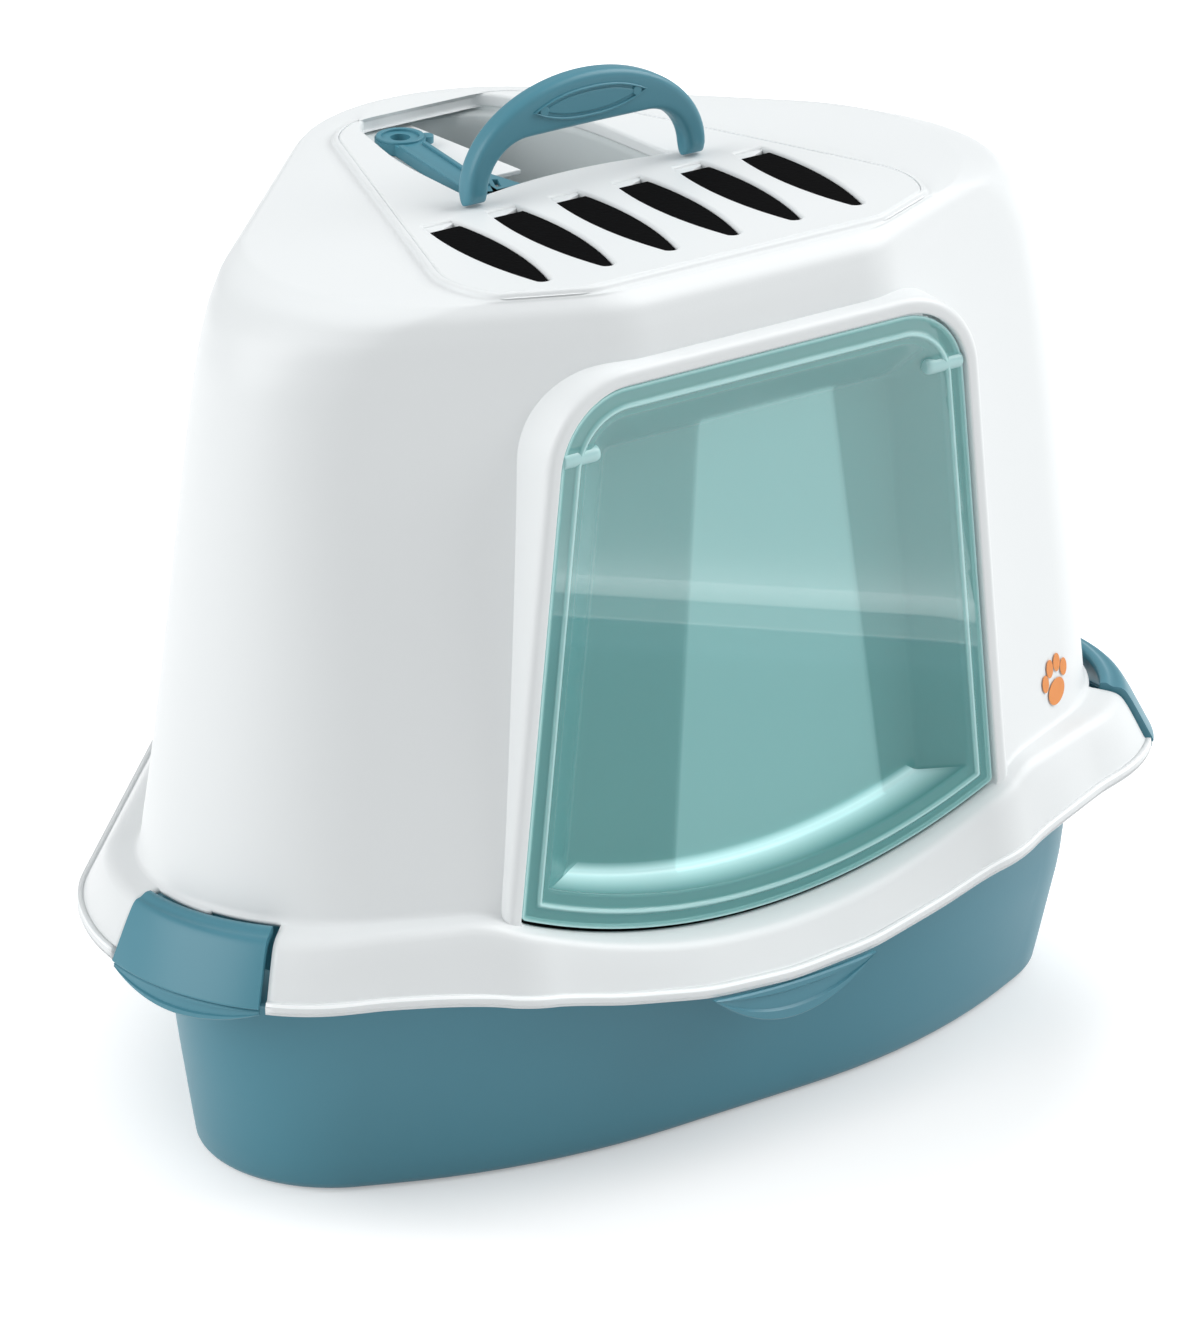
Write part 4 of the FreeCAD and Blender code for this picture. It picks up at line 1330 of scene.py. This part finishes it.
def lensLoop(halfX, halfZ, count=40):
    # Lens whose height falls off towards its ends by a power of the distance
    share = np.linspace(-1, 1, count)
    upper = np.stack([share * halfX, halfZ * (1 - np.abs(share) ** 2.4)], -1)
    return np.concatenate([upper[:-1], -upper[:-1]])


def buildPad():
    # Plates turned upright on the handle's front: a lens-shaped ring, a pad in it and a dot at each end
    long, tall = handle["padHalf"]
    dot = circlePoints(24) * handle["dotR"]
    aside = np.array([long - 6.0, 0.0])
    for name, loops, edge, sink in (
        ("gripRing", [lensLoop(long, tall), lensLoop(long - 1.7, tall - 1.5)], 0.6, 0.3),
        ("gripPad", [lensLoop(long - 5.0, tall - 2.4)], 1.0, 0.8),
        ("gripDotLeft", [dot - aside], 0.5, 0.5),
        ("gripDotRight", [dot + aside], 0.5, 0.5),
    ):
        mesh = plateMesh(name, loops, handle["padThick"], edge)
        mesh.transform(Matrix.Rotation(math.pi / 2, 4, "X"))
        face = handle["y"] - handle["depth"] / 2 + sink
        mesh.transform(Matrix.Translation((0, face * mm, handle["padZ"] * mm)))
        addPiece(name, mesh, blueFinish, "handle", flat=True)


buildHandle()
buildPad()
print("handle made")


# Ledge inside the hood

ledge = {"z": 159.0, "wall": 2.0, "width": 24.0, "fromY": -95.0}


def buildLedge():
    # Level strip along the inside of the back walls, glowing: painted light on a band there
    heights, table = planTable(hood["levels"], hood["tableStep"])
    outer = tableAt(heights, table, np.full(len(halfDegs), ledge["z"])) - halfOut * hood["wall"]
    inner = outer - halfOut * (ledge["width"] - hood["wall"])
    right = np.stack([inner, outer])[:, outer[:, 1] > ledge["fromY"]]
    left = right[:, -2::-1] * np.array([-1.0, 1.0])
    points = np.array([atHeight(row, ledge["z"]) for row in np.concatenate([right, left], axis=1)])
    mesh = makeMesh("innerLedge", points, gridFaces(*points.shape[:2]), outward=False)
    piece = addPiece("innerLedge", mesh, (ledgeWhitePaintedLight, "white_plastic"), "hood")
    thicken(piece, ledge["wall"])


# Hinge sleeves at the door's upper corners

sleeve = {"nearX": 95.0, "farX": 115.6, "y": -206.2, "z": 368.0, "radius": 4.4, "round": 3.5, "sides": 28}


def buildSleeves():
    # Eased profile of length and radius turned about the hinge's axis
    length = sleeve["farX"] - sleeve["nearX"]
    radius = sleeve["radius"]
    profile = ((0.0, 0.01), (0.0, radius), (length, radius), (length, 0.01))
    path = softPath(profile, (0, sleeve["round"], 0.6, 0))
    along, reach = path.T[:, :, None]
    turns = circlePoints(sleeve["sides"])
    y = sleeve["y"] + turns[:, 0] * reach
    z = sleeve["z"] + turns[:, 1] * reach
    for name, side in (("sleeveLeft", -1.0), ("sleeveRight", 1.0)):
        x = side * (sleeve["nearX"] + along)
        grid = np.stack(np.broadcast_arrays(x, y, z), -1)
        addTube(name, grid, (tealPale, "clear_teal"), "door", sharpDeg=50)


# Paw print on the right flank

paw = {
    "along": 110.0,
    "z": 172.0,
    "lift": 0.6,
    # Place across and up, half width and half height of each pad
    "pads": (
        (0.0, -5.5, 8.4, 6.6), (-9.6, 3.2, 3.4, 4.6), (-3.6, 8.6, 3.5, 4.8),
        (3.8, 8.6, 3.5, 4.8), (9.8, 3.2, 3.4, 4.6),
    ),
    "turn": 8.0,
    "sides": 40,
}


def buildPaw():
    # Ellipses of a middle point and two rings, turned together and laid on the flank's wall
    out = turned(plan["flankDeg"])
    along = np.array([-out[1], out[0]])
    line = np.array(plan["wing"]) @ out
    cos, sin = turned(paw["turn"])
    count = paw["sides"]
    circle = circlePoints(count)
    rings = np.concatenate([np.zeros((1, 2)), circle * 0.5, circle])
    here = np.arange(count)
    after = (here + 1) % count
    fan = np.stack([0 * here, 1 + here, 1 + after], -1)
    band = np.stack([1 + here, 1 + count + here, 1 + count + after, 1 + after], -1)
    points = []
    faces = []
    for x, z, halfX, halfZ in paw["pads"]:
        spots = rings * np.array([halfX, halfZ]) + np.array([x, z])
        spots = spots @ np.array([[cos, sin], [-sin, cos]])
        height = paw["z"] + spots[:, 1]
        reach = line + smoothRows(hoodLevels[:, 0], hoodLevels[:, 2:3], height) + paw["lift"]
        first = len(points) * len(rings)
        points.append(atHeight(out * reach + along * (paw["along"] + spots[:, :1]), height))
        faces += [*(fan + first), *(band + first)]
    mesh = makeMesh("pawPrint", np.concatenate(points), faces, outward=False)
    addPiece("pawPrint", mesh, (orangePrint, "white_plastic"), "hood")


buildLedge()
buildSleeves()
buildPaw()
print("small pieces made")


# Raised parts on the scoop: rims along its shaft, a nub on its head and the shoulder of its blade

scoop = {
    "head": (-28.0, 51.0),
    "neck": (-42.0, -41.0),
    "top": 435.8,
    "edge": 0.4,
    "rimFrom": 14.0,
    "rimTo": 84.0,
    "rimAside": 6.2,
    "rimHalf": 1.1,
    "rimRise": 1.2,
    "rimSink": 1.0,
    "headRim": (11.8, 9.4),
    "nub": (-15.6, 46.6),
    "nubR": 3.6,
    "nubThick": 4.0,
    "shoulder": ((-49.0, -34.0), (-40.0, -26.0), (-23.0, -19.0), (-19.5, -39.0), (-46.0, -47.5)),
    "shoulderThick": 3.2,
    "slots": ((-36.0, -34.5), (-28.5, -31.5)),
    "slotLean": (0.42, 0.9),
    "slotHalf": (1.3, 5.5),
}


def barLoop(middle, along, across):
    # Corners of a bar from its middle and its two half sides
    near = middle - along
    far = middle + along
    return np.array([near - across, near + across, far + across, far - across])


def buildScoop():
    # Bars and rings laid on the scoop as plates
    head = np.array(scoop["head"])
    along = np.array(scoop["neck"]) - head
    along /= np.linalg.norm(along)
    across = np.array([along[1], -along[0]])
    shaft = head + along * (scoop["rimFrom"] + scoop["rimTo"]) / 2
    reach = along * (scoop["rimTo"] - scoop["rimFrom"]) / 2
    aside = across * scoop["rimAside"]
    rims = [barLoop(shaft + aside * side, reach, across * scoop["rimHalf"]) for side in (-1.0, 1.0)]
    rims += [head + circlePoints(40) * radius for radius in scoop["headRim"]]
    nub = np.array(scoop["nub"]) + circlePoints(24) * scoop["nubR"]
    lean = np.array(scoop["slotLean"])
    wide, long = scoop["slotHalf"]
    slotSide = np.array([lean[1], -lean[0]]) * wide
    shoulder = [np.array(scoop["shoulder"])]
    shoulder += [barLoop(np.array(spot), lean * long, slotSide) for spot in scoop["slots"]]
    rise = scoop["rimRise"]
    for name, loops, top, thickness in (
        ("scoopRims", rims, scoop["top"] + rise, rise + scoop["rimSink"]),
        ("scoopNub", [nub], scoop["top"], scoop["nubThick"]),
        ("scoopShoulder", shoulder, scoop["top"], scoop["shoulderThick"]),
    ):
        layPlate(name, loops, top, thickness, scoop["edge"], blueFinish, "scoop")


buildScoop()

# CAD pieces that keep their shape
for node, material in (
    ("litter_scoop", bluePlastic),
    ("carbon_filter", blackFoamAndShade),
    ("filter_holder", whitePlastic),
):
    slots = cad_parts[node].data.materials
    slots.clear()
    slots.append(material)
print("scoop and filter finished")


# Floor, light and camera

studio = {
    "floorHalf": 12.0,
    "floorColour": (0.68, 0.68, 0.68),
    # Floor glow from near to far from the object: painted light beyond the near shadow
    "floorLift": (0.3, 0.66),
    "liftFrom": (0.19, 0.3),
    "liftCentre": (0.0, -0.12, 0.0),
    "world": 0.48,
    "worldColour": (0.97, 0.985, 1.0, 1.0),
    "spread": 50.0,
    "suns": (
        ("leftSun", (-0.9, 0.25, 0.54), 1.6),
        ("rightSun", (0.9, -0.27, 0.75), 2.35),
    ),
}


def floorMaterial():
    # Pale floor, lifted by a glow where it is seen directly or in a reflection, and more so away from the
    # object: painted light that washes out the shadow far from it
    material = makeMaterial("floorPaint", studio["floorColour"], 0.9, drift=0.005, relief=0.0)
    nodes = material.node_tree.nodes
    shader = nodes["Principled BSDF"]
    shader.inputs["Emission Strength"].default_value = 1.0
    rays = addNode(nodes, "LightPath")
    either = addNode(nodes, "Math", operation="ADD")
    seen = addNode(nodes, "Math", operation="ADD")
    seen.use_clamp = True
    place = addNode(nodes, "TexCoord")
    away = addNode(nodes, "VectorMath", [(1, studio["liftCentre"])], "DISTANCE")
    near, far = studio["liftFrom"]
    dim, bright = studio["floorLift"]
    ends = [("From Min", near), ("From Max", far), ("To Min", dim), ("To Max", bright)]
    lift = addNode(nodes, "MapRange", ends)
    lift.interpolation_type = "SMOOTHSTEP"
    both = addNode(nodes, "Math", operation="MULTIPLY")
    for start, end in (
        (rays.outputs["Is Camera Ray"], either.inputs[0]),
        (rays.outputs["Is Glossy Ray"], either.inputs[1]),
        (either.outputs[0], seen.inputs[0]),
        (rays.outputs["Is Transmission Ray"], seen.inputs[1]),
        (place.outputs["Object"], away.inputs[0]),
        (away.outputs["Value"], lift.inputs["Value"]),
        (seen.outputs[0], both.inputs[0]),
        (lift.outputs["Result"], both.inputs[1]),
        (both.outputs[0], shader.inputs["Emission Color"]),
    ):
        material.node_tree.links.new(start, end)
    return material


def buildStudio():
    # A level floor, an even world and two wide suns
    half = studio["floorHalf"]
    mesh = bpy.data.meshes.new("floor")
    corners = [(-half, -half, 0), (half, -half, 0), (half, half, 0), (-half, half, 0)]
    mesh.from_pydata(corners, [], [(0, 1, 2, 3)])
    mesh.materials.append(floorMaterial())
    floor = bpy.data.objects.new("floor", mesh)
    bpy.context.scene.collection.objects.link(floor)
    world = bpy.data.worlds.new("studio")
    bpy.context.scene.world = world
    world.use_nodes = True
    background = world.node_tree.nodes["Background"]
    background.inputs["Color"].default_value = studio["worldColour"]
    background.inputs["Strength"].default_value = studio["world"]
    for name, direction, strength in studio["suns"]:
        lamp = bpy.data.lights.new(name, "SUN")
        lamp.energy = strength
        lamp.angle = math.radians(studio["spread"])
        holder = bpy.data.objects.new(name, lamp)
        bpy.context.scene.collection.objects.link(holder)
        holder.rotation_euler = Vector(direction).to_track_quat("Z", "Y").to_euler()


camera = {
    "place": (-1.9615, -2.80375, 1.6083),
    "right": (0.81184, -0.58387, 0.0),
    "up": (0.22623, 0.31456, 0.92188),
    "back": (-0.53826, -0.74843, 0.38746),
    "focalPixels": 7475.243,
    "imageHeight": 1322.0,
    "sensor": 36.0,
}


def buildCamera():
    # Camera at the photograph's place, with its focal length turned from pixels into the sensor's size
    lens = bpy.data.cameras.new("photoCamera")
    lens.sensor_fit = "VERTICAL"
    lens.sensor_height = camera["sensor"]
    lens.lens = camera["focalPixels"] * camera["sensor"] / camera["imageHeight"]
    lens.clip_end = 100.0
    holder = bpy.data.objects.new("photoCamera", lens)
    bpy.context.scene.collection.objects.link(holder)
    columns = (camera["right"], camera["up"], camera["back"], camera["place"])
    holder.matrix_world = Matrix([[column[i] for column in columns] for i in range(3)] + [[0, 0, 0, 1]])
    bpy.context.scene.camera = holder


buildStudio()
buildCamera()
bpy.context.scene.view_settings.view_transform = "Standard"
print("studio made")
